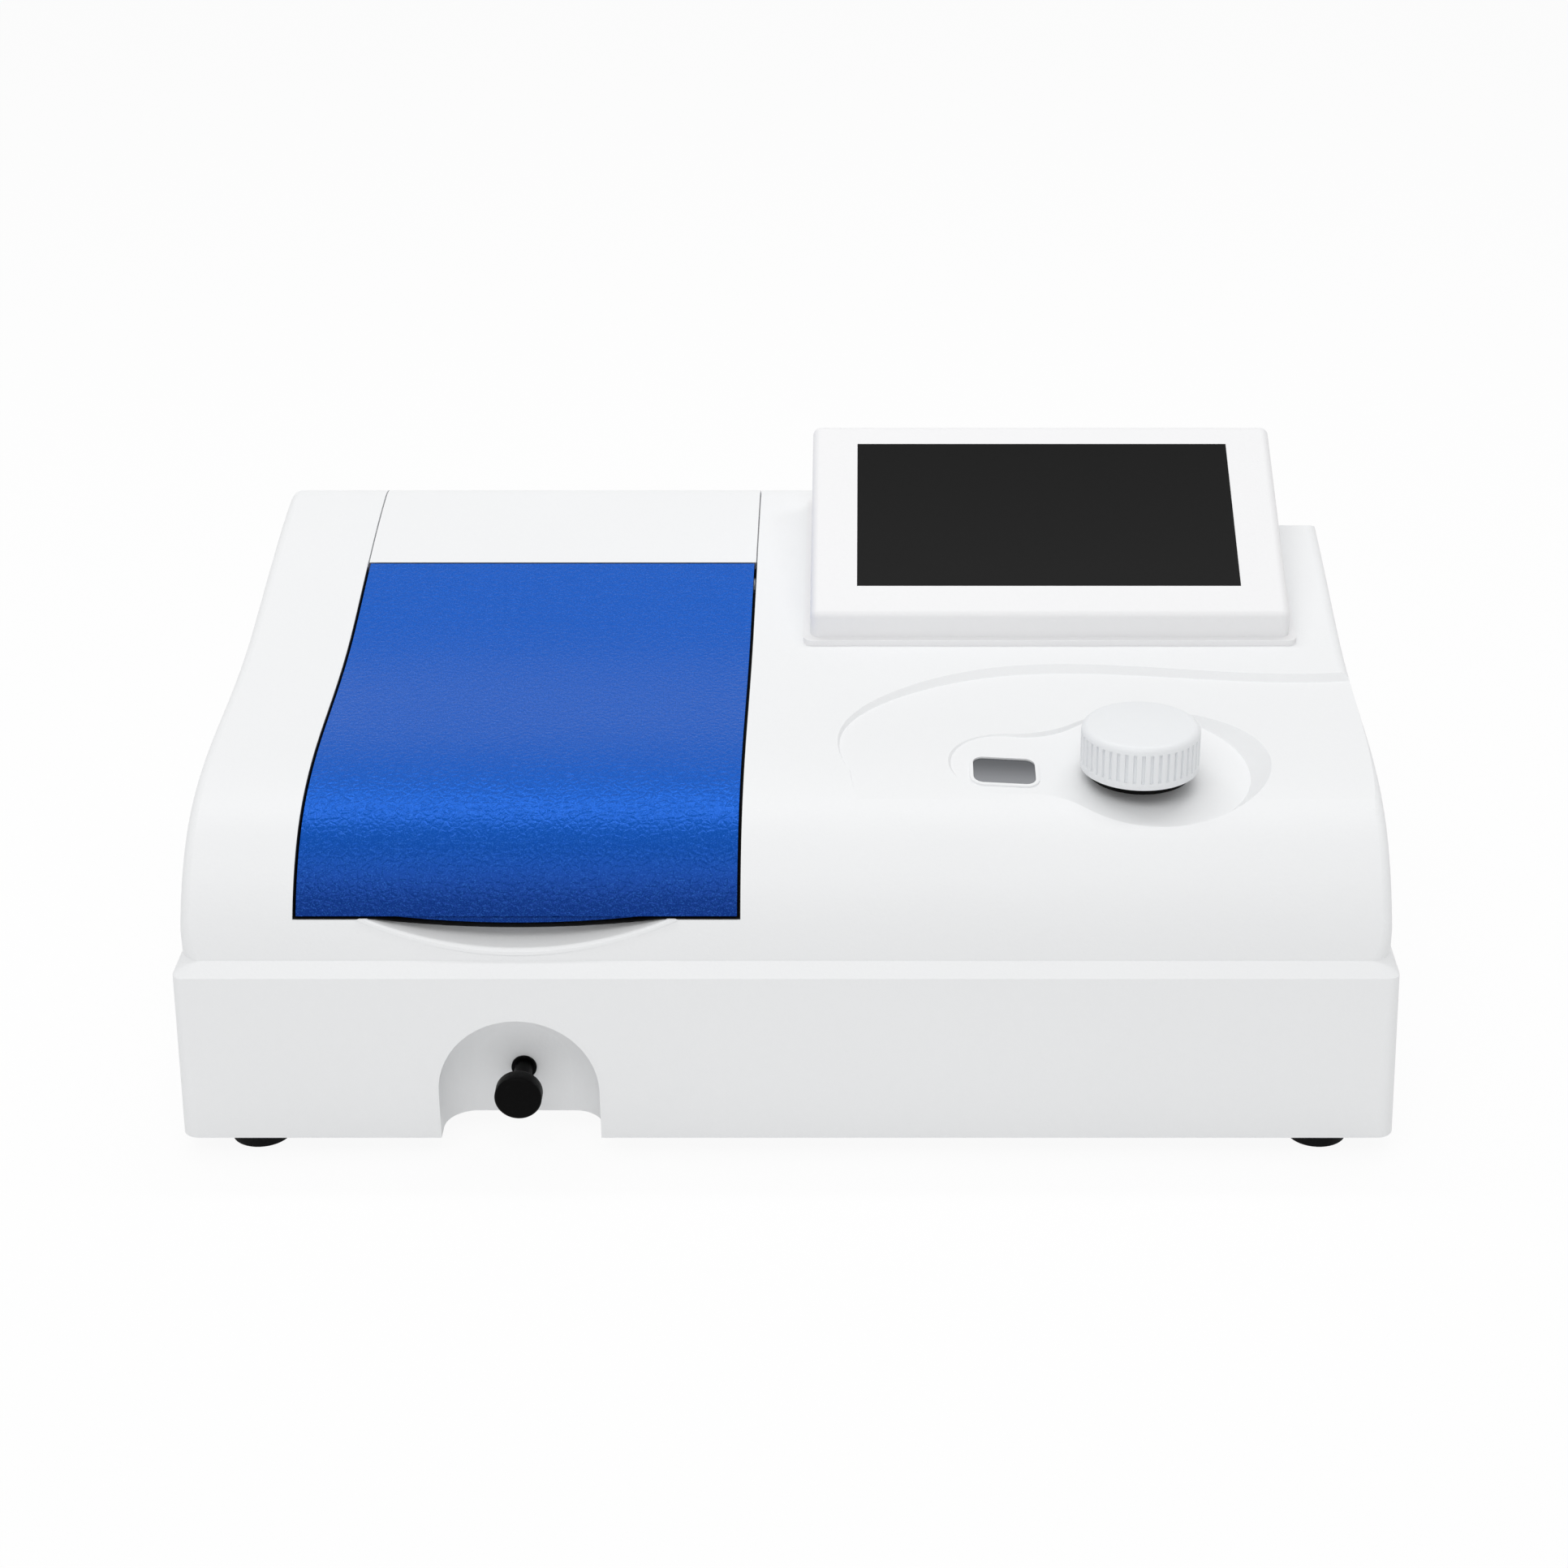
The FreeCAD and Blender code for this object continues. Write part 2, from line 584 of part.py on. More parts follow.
def rear_openings():
    """Return the tools that cut the rear panel."""
    y0 = BASE_DEPTH - 2 * WALL
    y1 = BASE_DEPTH + WALL
    tools = [box(INLET_X - 14, INLET_X + 14, y0, y1, INLET_Z - 16, INLET_Z + 16),
             box(SWITCH_X - 9.5, SWITCH_X + 9.5, y0, y1, INLET_Z - 13, INLET_Z + 13),
             box(USB_X - 6, USB_X + 6, y0, y1, PORT_Z - 5.5, PORT_Z + 5.5),
             box(SERIAL_X - 9.5, SERIAL_X + 9.5, y0, y1, PORT_Z - 5.5, PORT_Z + 5.5)]
    grille = []
    for index in range(-4, 5):
        z = FAN_Z + index * 6
        half = math.sqrt(FAN_BORE ** 2 - (index * 6) ** 2) - 1
        grille.append(box(FAN_X - half, FAN_X + half, y0, y1, z - 1.75, z + 1.75))
    return tools + grille


def bottom_plate():
    """Return the sheet steel bottom with air slots and foot screw holes."""
    half = BASE_WIDTH / 2 + BASE_FLARE - WALL - 1
    plate = Part.Face(plan_wire(half, WALL, BASE_DEPTH - WALL - 1, PLATE_BOTTOM, 3, 3)).extrude(V(0, 0, PLATE_THICKNESS))
    notch = arch(WALL + AIR, ARCH_DEPTH + WALL + AIR)
    notch.translate(V(0, 0, -5))
    slots = [box(x - 2, x + 2, BASE_DEPTH - 76, BASE_DEPTH - 36, 0, PLATE_TOP + 5) for x in range(-150, 160, 25)]
    holes = [upright(x, y, 0, PLATE_TOP + 5, SCREW_RADIUS + 0.3) for x, y in foot_places()]
    return cut(plate, [notch] + slots + holes)


def foot(x, y):
    """Return one rubber foot with a counterbored screw hole."""
    cone = Part.makeCone(FOOT_BOTTOM_RADIUS, FOOT_TOP_RADIUS, PLATE_BOTTOM, V(x, y, 0))
    bore = upright(x, y, -1, PLATE_BOTTOM + 1, SCREW_RADIUS + 0.3)
    counterbore = upright(x, y, -1, PLATE_BOTTOM / 2, SCREW_HEAD_RADIUS + 0.6)
    return cut(cone, [bore, counterbore])


def foot_screw(x, y):
    """Return one pan head screw through a foot."""
    head = upright(x, y, PLATE_BOTTOM / 2 - SCREW_HEAD, PLATE_BOTTOM / 2, SCREW_HEAD_RADIUS)
    shank = upright(x, y, PLATE_BOTTOM / 2, PLATE_TOP + BOSS_HEIGHT - 6, SCREW_RADIUS)
    return fuse([head, shank])


def optical_bench():
    """Return the cast plate that carries the optics."""
    half = BASE_WIDTH / 2
    plate = rounded_box(16 - half, half - 22, TUB_FRONT - 14, BASE_DEPTH - 24, PLATE_TOP, BENCH_TOP, 6)
    return plate.cut(box(-150, -90, BASE_DEPTH - 86, BASE_DEPTH - 36, 0, FAR))


def sample_tub():
    """Return the open black box of the sample compartment, hung under the shelf."""
    drop = LID_THICKNESS + SHELF_DROP + SHELF_THICKNESS
    outer = box(TUB_LEFT, TUB_RIGHT, TUB_FRONT, TUB_REAR, BENCH_TOP, FAR)
    inner = box(TUB_LEFT + TUB_WALL, TUB_RIGHT - TUB_WALL, TUB_FRONT + TUB_WALL, TUB_REAR - TUB_WALL, TUB_FLOOR, FAR)
    lip = box(SEAM_LEFT + 4, SEAM_RIGHT - 4, TUB_FRONT - 6, TUB_REAR, CASE_BOTTOM, FAR)
    lip = lip.cut([casing(drop + TUB_WALL), box(TUB_LEFT + TUB_WALL, TUB_RIGHT - TUB_WALL,
                                                TUB_FRONT + TUB_WALL, TUB_REAR - TUB_WALL, 0, FAR)])
    walls = fuse([outer.cut(inner), lip]).common(casing(drop))
    holes = [bar((TUB_LEFT - 5, BEAM_Y, BEAM_Z), (TUB_RIGHT + 5, BEAM_Y, BEAM_Z), BEAM_HOLE),
             bar((ROD_X, TUB_FRONT - 5, ROD_Z), (ROD_X, TUB_FRONT + 10, ROD_Z), ROD_COLLAR_RADIUS)]
    return cut(walls, holes)


def carriage_rails():
    """Return the two rails on the compartment floor."""
    return [box(ROD_X + side * RAIL_SPACING / 2 - RAIL_WIDTH / 2, ROD_X + side * RAIL_SPACING / 2 + RAIL_WIDTH / 2,
                TUB_FRONT + 15, TUB_REAR - 8, TUB_FLOOR, TUB_FLOOR + RAIL_HEIGHT) for side in (-1, 1)]


def carriage_span():
    """Return where the cell carriage starts and ends along Y at rest."""
    front = BEAM_Y - CELL_SLOT / 2 - CARRIAGE_WALL
    return front, front + CELL_COUNT * CELL_PITCH + CARRIAGE_WALL


def cell_carriage():
    """Return the block with open cell slots that the rod pulls."""
    front, rear = carriage_span()
    half = CELL_SLOT / 2 + CARRIAGE_WALL + 1
    sole_bottom = TUB_FLOOR + RAIL_HEIGHT + AIR
    block = box(ROD_X - half, ROD_X + half, front, rear, sole_bottom, CARRIAGE_TOP)
    sole = box(ROD_X - RAIL_SPACING / 2 - 5, ROD_X + RAIL_SPACING / 2 + 5, front, rear,
               sole_bottom, sole_bottom + 3)
    slots = []
    for index in range(CELL_COUNT):
        y = BEAM_Y + index * CELL_PITCH
        slots.append(box(ROD_X - CELL_SLOT / 2, ROD_X + CELL_SLOT / 2, y - CELL_SLOT / 2, y + CELL_SLOT / 2,
                         CARRIAGE_FLOOR, FAR))
        slots.append(box(ROD_X - half - 1, ROD_X + half + 1, y - 4.5, y + 4.5, CARRIAGE_FLOOR + 6,
                         CARRIAGE_TOP - 5))
    socket = bar((ROD_X, front - 1, ROD_Z), (ROD_X, front + 10, ROD_Z), ROD_RADIUS)
    notches = [bar((ROD_X + RAIL_SPACING / 2 + 6, BEAM_Y + index * CELL_PITCH, sole_bottom - 1),
                   (ROD_X + RAIL_SPACING / 2 + 6, BEAM_Y + index * CELL_PITCH, sole_bottom + 5), 2.6)
               for index in range(CELL_COUNT)]
    return cut(fuse([block, sole]), slots + [socket] + notches)


def detent_spring():
    """Return the leaf spring whose nose sits in the carriage's notches."""
    edge = ROD_X + RAIL_SPACING / 2 + 5
    z0 = TUB_FLOOR + RAIL_HEIGHT + AIR
    leaf = box(edge + 2.2, edge + 3.0, BEAM_Y - 20, BEAM_Y + 8, z0, z0 + 4)
    nose = bar((edge + AIR + 1.5, BEAM_Y, z0), (edge + AIR + 1.5, BEAM_Y, z0 + 4), 1.5)
    foot_block = box(edge + 1.2, edge + 5.2, BEAM_Y - 24, BEAM_Y - 14, TUB_FLOOR, z0 + 4)
    return fuse([leaf, nose, foot_block])


def pull_rod():
    """Return the rod between the knob and the carriage."""
    front, _ = carriage_span()
    return bar((ROD_X, ROD_KNOB_FRONT + 3, ROD_Z), (ROD_X, front + 10, ROD_Z), ROD_RADIUS)


def rod_knob():
    """Return the disc knob on the rod."""
    disc = bar((ROD_X, ROD_KNOB_FRONT, ROD_Z), (ROD_X, ROD_KNOB_FRONT + ROD_KNOB_THICKNESS, ROD_Z), ROD_KNOB_RADIUS)
    disc = disc.makeChamfer(0.8, [edge for edge in disc.Edges if edge.BoundBox.XLength > 2 and edge.BoundBox.YLength < 1])
    socket = bar((ROD_X, ROD_KNOB_FRONT + 3, ROD_Z), (ROD_X, ROD_KNOB_FRONT + 20, ROD_Z), ROD_RADIUS)
    return disc.cut(socket)


def rod_bush():
    """Return the collar that guides the rod through both walls."""
    tube = bar((ROD_X, ARCH_DEPTH - 1, ROD_Z), (ROD_X, TUB_FRONT + TUB_WALL, ROD_Z), ROD_COLLAR_RADIUS)
    return tube.cut(bar((ROD_X, 0, ROD_Z), (ROD_X, TUB_REAR, ROD_Z), ROD_RADIUS + RUNNING))


def sample_lid():
    """Return the curved lid with its inner ribs and hinge ears."""
    panel = casing(0).cut(casing(LID_THICKNESS))
    lid = panel.common(lid_outline(0, CASE_FRONT - WALL, LID_REAR_Y, FAR))
    ribs = []
    for x in (-140.0, ROD_X, -62.0):
        strip = box(x - 1, x + 1, 46, 200, CASE_BOTTOM, FAR)
        ribs.append(strip.common(casing(LID_THICKNESS - 0.5)).cut(casing(LID_THICKNESS + 4)))
    ears = []
    for x in hinge_places():
        disc = bar((x, HINGE_Y, HINGE_Z), (x + 5, HINGE_Y, HINGE_Z), KNUCKLE_RADIUS)
        web = box(x, x + 5, HINGE_Y - KNUCKLE_RADIUS, HINGE_Y + KNUCKLE_RADIUS, HINGE_Z, FAR)
        ears.append(fuse([disc, web]).common(casing(LID_THICKNESS - 0.5)))
    lip = lip_outline(0).common(casing(LIP_SET_BACK)).cut(casing(LIP_SET_BACK + LIP_THICKNESS))
    lid = fuse([lid, lip] + ribs + ears)
    return lid.cut(bar((SEAM_LEFT, HINGE_Y, HINGE_Z), (SEAM_RIGHT, HINGE_Y, HINGE_Z), PIN_RADIUS + RUNNING))


def hinge_places():
    """Return where the two hinge ears start along X."""
    return (SEAM_LEFT + 8.0, SEAM_RIGHT - 13.0)


def hinge_brackets():
    """Return the two blocks that hold the hinge pins."""
    blocks = []
    for x0, x1 in ((SEAM_LEFT, SEAM_LEFT + 7.6), (SEAM_RIGHT - 7.6, SEAM_RIGHT)):
        block = box(x0, x1, HINGE_Y - 8, HINGE_Y, HINGE_Z - 8, HINGE_Z + 2.9)
        block = fuse([block, bar((x0, HINGE_Y, HINGE_Z), (x1, HINGE_Y, HINGE_Z), KNUCKLE_RADIUS)])
        blocks.append(block.cut(bar((x0 - 1, HINGE_Y, HINGE_Z), (x1 + 1, HINGE_Y, HINGE_Z), PIN_RADIUS)))
    return blocks


def hinge_pins():
    """Return the two steel pins."""
    return [bar((x0, HINGE_Y, HINGE_Z), (x1, HINGE_Y, HINGE_Z), PIN_RADIUS)
            for x0, x1 in ((SEAM_LEFT + 1, SEAM_LEFT + 13), (SEAM_RIGHT - 13, SEAM_RIGHT - 1))]


def lid_gasket():
    """Return the black seal that lines the gap round the lid and the shelf under it."""
    drop = LID_THICKNESS + SHELF_DROP
    y0 = CASE_FRONT - WALL
    wall = lid_outline(LID_GAP - RUNNING, y0, LID_REAR_Y - 2, FAR).fuse(lip_outline(LID_GAP - RUNNING))
    wall = wall.cut([lid_outline(LID_GAP - SEAL_WALL, y0 - 1, FAR, FAR), lip_outline(LID_GAP - SEAL_WALL)])
    wall = wall.common(casing(SEAL_SET_BACK))
    strip = lid_outline(LID_GAP - RUNNING, y0, SHELF_REAR_Y, FAR)
    strip = strip.cut([lid_outline(-4.0, y0 - 1, FAR, FAR), lip_outline(LID_GAP - SEAL_WALL)])
    strip = strip.common(casing(LID_THICKNESS + AIR))
    knuckles = box(SEAM_LEFT, SEAM_RIGHT, HINGE_Y - KNUCKLE_RADIUS - 4, FAR, 0, HINGE_Z + KNUCKLE_RADIUS + RUNNING)
    return fuse([wall, strip]).cut([casing(drop - 2 * RUNNING), knuckles])


def rear_hood():
    """Return the white panel behind the lid, hollowed under its front edge for the lid's swing."""
    zone = box(SEAM_LEFT + HOOD_GAP, SEAM_RIGHT - HOOD_GAP, LID_REAR_Y + 1, FAR, HOOD_BOTTOM_Z + HOOD_GAP, FAR)
    hood = zone.common(casing(0)).cut(casing(WALL))
    crest = casing(0).common(box(ROD_X, ROD_X + 1, LID_REAR_Y - 0.1, LID_REAR_Y, 0, FAR)).BoundBox.ZMax
    reach = math.hypot(LID_REAR_Y - HINGE_Y, crest - HINGE_Z) + HINGE_AIR
    return hood.cut(bar((SEAM_LEFT, HINGE_Y, HINGE_Z), (SEAM_RIGHT, HINGE_Y, HINGE_Z), reach))


def display_outline(inset):
    """Return the display housing's side outline, moved inwards by an inset."""
    tilt = math.radians(DISPLAY_TILT)
    nose = (DISPLAY_FRONT_Y + inset, DISPLAY_FRONT_Z - inset / math.cos(tilt) + inset * math.tan(tilt))
    back_y = DISPLAY_REAR_Y - inset
    crown = (back_y, DISPLAY_REAR_Z - inset / math.cos(tilt) - inset * math.tan(tilt))
    foot_y = DISPLAY_REAR_Y + DISPLAY_BACK_LEAN - inset
    return [nose, crown, (foot_y, CASE_BOTTOM + 30), (DISPLAY_FRONT_Y + inset, CASE_BOTTOM + 30)]


def screen_tool(margin, depth, rise):
    """Return a block that lies on the display face, grown by a margin and sunk by a depth."""
    middle = (DISPLAY_LEFT + DISPLAY_RIGHT) / 2
    block = box(middle - SCREEN_WIDTH / 2 - margin, middle + SCREEN_WIDTH / 2 + margin,
                DISPLAY_FRONT_Y + SCREEN_START - margin, DISPLAY_FRONT_Y + SCREEN_START + SCREEN_LENGTH + margin,
                DISPLAY_FRONT_Z - depth, DISPLAY_FRONT_Z + rise)
    return turned(block, DISPLAY_TILT, (0, DISPLAY_FRONT_Y, DISPLAY_FRONT_Z), (1, 0, 0))


def display_housing():
    """Return the wedge that holds the screen, seated on the casing by a bevelled flange."""
    wedge = side_prism(display_outline(0), DISPLAY_LEFT, DISPLAY_RIGHT)
    rims = [edge for edge in wedge.Edges if edge.BoundBox.ZMax > CASE_BOTTOM + 40
            and not (edge.BoundBox.YLength < 0.01 and edge.BoundBox.XLength > 1
                     and edge.BoundBox.ZMin < CASE_BOTTOM + 35)]
    wedge = wedge.makeFillet(DISPLAY_EDGE, rims)
    hollow = side_prism(display_outline(WALL), DISPLAY_LEFT + WALL, DISPLAY_RIGHT - WALL)
    raised = casing(0)
    raised.translate(V(0, 0, FLANGE_HEIGHT))
    flange = box(DISPLAY_LEFT - FLANGE_OUT, DISPLAY_RIGHT + FLANGE_OUT, DISPLAY_FRONT_Y - FLANGE_OUT,
                 DISPLAY_REAR_Y + DISPLAY_BACK_LEAN - 3, CASE_BOTTOM + 30, FAR)
    flange = flange.makeFillet(DISPLAY_EDGE, vertical_edges(flange)).common(raised)
    return fuse([wedge, flange]).cut([hollow, casing(0).cut(rear_slope(0)), screen_tool(0, 10, 5)])


def touch_panel():
    """Return the black glass of the touch screen."""
    return screen_tool(-0.1, SCREEN_GLASS, 0.1)


def lcd_module():
    """Return the panel behind the touch glass."""
    return screen_tool(-2.0, SCREEN_GLASS + 5, -SCREEN_GLASS)


def display_board():
    """Return the circuit board on spacers behind the panel."""
    board = screen_tool(-6.0, SCREEN_GLASS + 5 + 4 + BOARD_THICKNESS, -(SCREEN_GLASS + 5 + 4))
    spacers = []
    middle = (DISPLAY_LEFT + DISPLAY_RIGHT) / 2
    for x in (middle - 66, middle + 66):
        for y in (DISPLAY_FRONT_Y + SCREEN_START + 14, DISPLAY_FRONT_Y + SCREEN_START + SCREEN_LENGTH - 14):
            post = upright(x, y, DISPLAY_FRONT_Z - SCREEN_GLASS - 9.5, DISPLAY_FRONT_Z - SCREEN_GLASS - 5, 3)
            spacers.append(turned(post, DISPLAY_TILT, (0, DISPLAY_FRONT_Y, DISPLAY_FRONT_Z), (1, 0, 0)))
    return fuse([board] + spacers)


def window_lens():
    """Return the smoked glass in the window rim."""
    return window_block(-2 * RUNNING).common(under_dish_floor(RUNNING)).cut(under_dish_floor(RUNNING - LENS_THICKNESS))


def wavelength_knob():
    """Return the ribbed knob with a plain band at the bottom and a sloped top edge."""
    z0 = DISH_FLOOR + KNOB_GAP
    z1 = z0 + KNOB_HEIGHT
    body = upright(KNOB_X, KNOB_Y, z0, z1, KNOB_RADIUS)
    top = [edge for edge in body.Edges if edge.BoundBox.ZMin > z1 - 0.1]
    body = body.makeChamfer(KNOB_EDGE, top)
    body = body.cut(upright(KNOB_X, KNOB_Y, 0, z0 + KNOB_BORE, SHAFT_RADIUS))
    points = []
    for index in range(KNOB_RIBS):
        for radius, share in ((KNOB_RADIUS + 1, 0.0), (KNOB_RADIUS + 1, 0.6), (KNOB_RADIUS - KNOB_RIB_DEPTH, 0.68),
                              (KNOB_RADIUS - KNOB_RIB_DEPTH, 0.92)):
            angle = 2 * math.pi * (index + share) / KNOB_RIBS
            points.append((KNOB_X + radius * math.cos(angle), KNOB_Y + radius * math.sin(angle)))
    sleeve = upright(KNOB_X, KNOB_Y, z0 + KNOB_BAND, z1 + 1, KNOB_RADIUS + 3)
    return body.cut(sleeve.cut(plan_prism(points, z0, z1 + 2)))


def knob_collar():
    """Return the dark collar under the knob."""
    top = DISH_FLOOR + KNOB_GAP - 0.8
    disc = upright(KNOB_X, KNOB_Y, DISH_FLOOR - WALL, top, COLLAR_RADIUS)
    stem = upright(KNOB_X, KNOB_Y, DISH_FLOOR - 9, top, SHAFT_RADIUS + 2.9)
    disc = disc.cut(under_dish_floor(0))
    return fuse([disc, stem]).cut(upright(KNOB_X, KNOB_Y, 0, FAR, SHAFT_RADIUS + RUNNING))


def spur_gear(teeth, thickness, x, y, z, phase):
    """Return a spur gear with straight-flanked teeth and working backlash."""
    pitch_radius = GEAR_MODULE * teeth / 2
    root = pitch_radius - 1.25 * GEAR_MODULE
    tip = pitch_radius + 0.9 * GEAR_MODULE
    step = 2 * math.pi / teeth
    points = []
    for index in range(teeth):
        middle = index * step + phase
        for radius, share in ((root, -0.33), (tip, -0.12), (tip, 0.12), (root, 0.33)):
            angle = middle + share * step
            points.append((x + radius * math.cos(angle), y + radius * math.sin(angle)))
    return plan_prism(points, z, z + thickness)


def mesh_direction():
    """Return the direction from the dial's axis to the knob's axis, in radians."""
    return math.atan2(KNOB_Y - DIAL_Y, KNOB_X - DIAL_X)


def knob_shaft():
    """Return the knob's shaft with its pinion."""
    shaft = upright(KNOB_X, KNOB_Y, MONO_TOP + 2, DISH_FLOOR + KNOB_GAP + 12, SHAFT_RADIUS)
    toward = mesh_direction() + math.pi
    pinion = spur_gear(PINION_TEETH, GEAR_THICKNESS + 1, KNOB_X, KNOB_Y, GEAR_Z - 0.5, toward)
    return fuse([shaft, pinion])


def dial_gear():
    """Return the large gear and its shaft."""
    half_step = math.pi / DIAL_TEETH
    gear = spur_gear(DIAL_TEETH, GEAR_THICKNESS, DIAL_X, DIAL_Y, GEAR_Z, mesh_direction() + half_step)
    windows = []
    for index in range(3):
        angle = 2 * math.pi * index / 3
        windows.append(upright(DIAL_X + 30 * math.cos(angle), DIAL_Y + 30 * math.sin(angle), 0, FAR, 14))
    shaft = upright(DIAL_X, DIAL_Y, MONO_TOP + 2, DIAL_Z + DIAL_THICKNESS + 1.5, SHAFT_RADIUS)
    return fuse([cut(gear, windows), shaft])


def wavelength_dial():
    """Return the scale disc that turns under the window."""
    disc = upright(DIAL_X, DIAL_Y, DIAL_Z, DIAL_Z + DIAL_THICKNESS, DIAL_RADIUS)
    hub = upright(DIAL_X, DIAL_Y, GEAR_Z + GEAR_THICKNESS, DIAL_Z, 9)
    return fuse([disc, hub]).cut(upright(DIAL_X, DIAL_Y, 0, FAR, SHAFT_RADIUS))


def grating_place():
    """Return the grating's axis in plan."""
    return DIAL_X - CAM_RADIUS - ROLLER_RADIUS - 3, DIAL_Y - ARM_LENGTH


def drive_cam():
    """Return the cam whose rim keeps step with the roller over the dial's whole turn."""
    grating_x, grating_y = grating_place()
    points = []
    samples = 14
    for index in range(samples + 1):
        share = 2 * index / samples - 1
        swing = math.radians(90 - GRATING_SWING * share)
        roller_x = grating_x + ARM_LENGTH * math.cos(swing) - DIAL_X
        roller_y = grating_y + ARM_LENGTH * math.sin(swing) - DIAL_Y
        distance = math.hypot(roller_x, roller_y) - ROLLER_RADIUS - AIR
        turn = math.atan2(roller_y, roller_x) + math.radians(CAM_HALF_TURN * share)
        points.append(V(DIAL_X + distance * math.cos(turn), DIAL_Y + distance * math.sin(turn), CAM_Z))
    curve = Part.BSplineCurve()
    curve.interpolate(points)
    step = Part.LineSegment(points[-1], points[0]).toShape()
    cam = Part.Face(Part.Wire([curve.toShape(), step])).extrude(V(0, 0, CAM_THICKNESS))
    hub = upright(DIAL_X, DIAL_Y, CAM_Z - 3, GEAR_Z, 9)
    return fuse([cam, hub]).cut(upright(DIAL_X, DIAL_Y, 0, FAR, SHAFT_RADIUS))


def grating_arm():
    """Return the lever that follows the cam, with its roller."""
    x, y = grating_place()
    z0 = CAM_Z
    lever = box(x - 4, x + 4, y, y + ARM_LENGTH, z0 - 4, z0 - 0.6)
    hub = upright(x, y, z0 - 8, z0, 8)
    roller = upright(x, y + ARM_LENGTH, z0 - 4, z0 + CAM_THICKNESS, ROLLER_RADIUS)
    return fuse([lever, hub, roller]).cut(upright(x, y, 0, FAR, SHAFT_RADIUS))


def grating_table():
    """Return the turntable and its shaft through the monochromator cover."""
    x, y = grating_place()
    disc = upright(x, y, BENCH_TOP + MONO_WALL + 3, BENCH_TOP + MONO_WALL + 7, 20)
    stub = upright(x, y, BENCH_TOP + MONO_WALL + AIR, BENCH_TOP + MONO_WALL + 7, 6)
    post = upright(x - 12, y, BENCH_TOP + MONO_WALL + 3, MONO_TOP - MONO_WALL - 3, 3)
    bridge = box(x - 15, x + 6, y - 6, y + 6, MONO_TOP - MONO_WALL - 6, MONO_TOP - MONO_WALL - 3)
    shaft = upright(x, y, MONO_TOP - MONO_WALL - 6, CAM_Z, SHAFT_RADIUS)
    return fuse([disc, stub, post, bridge, shaft])


def grating():
    """Return the grating blank on its table."""
    x, y = grating_place()
    z0 = BENCH_TOP + MONO_WALL + 7
    return box(x - GRATING_THICKNESS, x, y - GRATING_SIZE / 2, y + GRATING_SIZE / 2, z0, z0 + GRATING_SIZE)


def mono_housing():
    """Return the cast box of the monochromator."""
    outer = rounded_box(MONO_LEFT, MONO_RIGHT, MONO_FRONT, MONO_REAR, BENCH_TOP, MONO_TOP - MONO_WALL, 6)
    inner = rounded_box(MONO_LEFT + MONO_WALL, MONO_RIGHT - MONO_WALL, MONO_FRONT + MONO_WALL,
                        MONO_REAR - MONO_WALL, BENCH_TOP + MONO_WALL, MONO_TOP + 1, 3)
    holes = [bar((MONO_LEFT - 1, BEAM_Y, BEAM_Z), (MONO_LEFT + 10, BEAM_Y, BEAM_Z), BEAM_HOLE),
             bar((ENTRANCE_X, MONO_REAR - 10, BEAM_Z), (ENTRANCE_X, MONO_REAR + 1, BEAM_Z), BEAM_HOLE)]
    return cut(outer, [inner] + holes)


def mono_cover():
    """Return the lid of the monochromator with its shaft bearings."""
    lid = rounded_box(MONO_LEFT, MONO_RIGHT, MONO_FRONT, MONO_REAR, MONO_TOP - MONO_WALL, MONO_TOP, 6)
    grating_x, grating_y = grating_place()
    bearings = [upright(x, y, MONO_TOP - 1, MONO_TOP + 8, 8) for x, y in ((KNOB_X, KNOB_Y), (DIAL_X, DIAL_Y))]
    lid = fuse([lid] + bearings)
    bores = [upright(x, y, MONO_TOP + 1.7, FAR, SHAFT_RADIUS + RUNNING)
             for x, y in ((KNOB_X, KNOB_Y), (DIAL_X, DIAL_Y))]
    through = upright(grating_x, grating_y, 0, FAR, SHAFT_RADIUS + RUNNING)
    return cut(lid, bores + [through])


def slit(x, y, along_x):
    """Return a slit plate with a narrow upright opening, behind a beam hole."""
    if along_x:
        plate = box(x, x + 2, y - 12, y + 12, BEAM_Z - 12, BEAM_Z + 12)
        gap = box(x - 1, x + 3, y - 0.3, y + 0.3, BEAM_Z - 5, BEAM_Z + 5)
    else:
        plate = box(x - 12, x + 12, y - 2, y, BEAM_Z - 12, BEAM_Z + 12)
        gap = box(x - 0.3, x + 0.3, y - 3, y + 1, BEAM_Z - 5, BEAM_Z + 5)
    return plate.cut(gap)


def mirror(x, y, facing):
    """Return a round concave mirror on a foot, facing an angle in plan."""
    disc = bar((x, y, BEAM_Z), (x + MIRROR_THICKNESS, y, BEAM_Z), MIRROR_RADIUS)
    sphere = Part.makeSphere(200, V(x - 199, y, BEAM_Z))
    disc = disc.cut(sphere)
    stand = box(x + 1.5, x + MIRROR_THICKNESS + 3, y - 10, y + 10, BENCH_TOP + MONO_WALL, BEAM_Z)
    return turned(fuse([disc, stand]), facing, (x, y, 0), (0, 0, 1))


def fold_mirror():
    """Return the flat mirror that turns the light towards the collimator."""
    plate = box(ENTRANCE_X - 2, ENTRANCE_X + 2, COLLIMATOR_Y - 14, COLLIMATOR_Y + 14, BENCH_TOP + MONO_WALL, BEAM_Z + 14)
    return turned(plate, 45, (ENTRANCE_X, COLLIMATOR_Y, 0), (0, 0, 1))


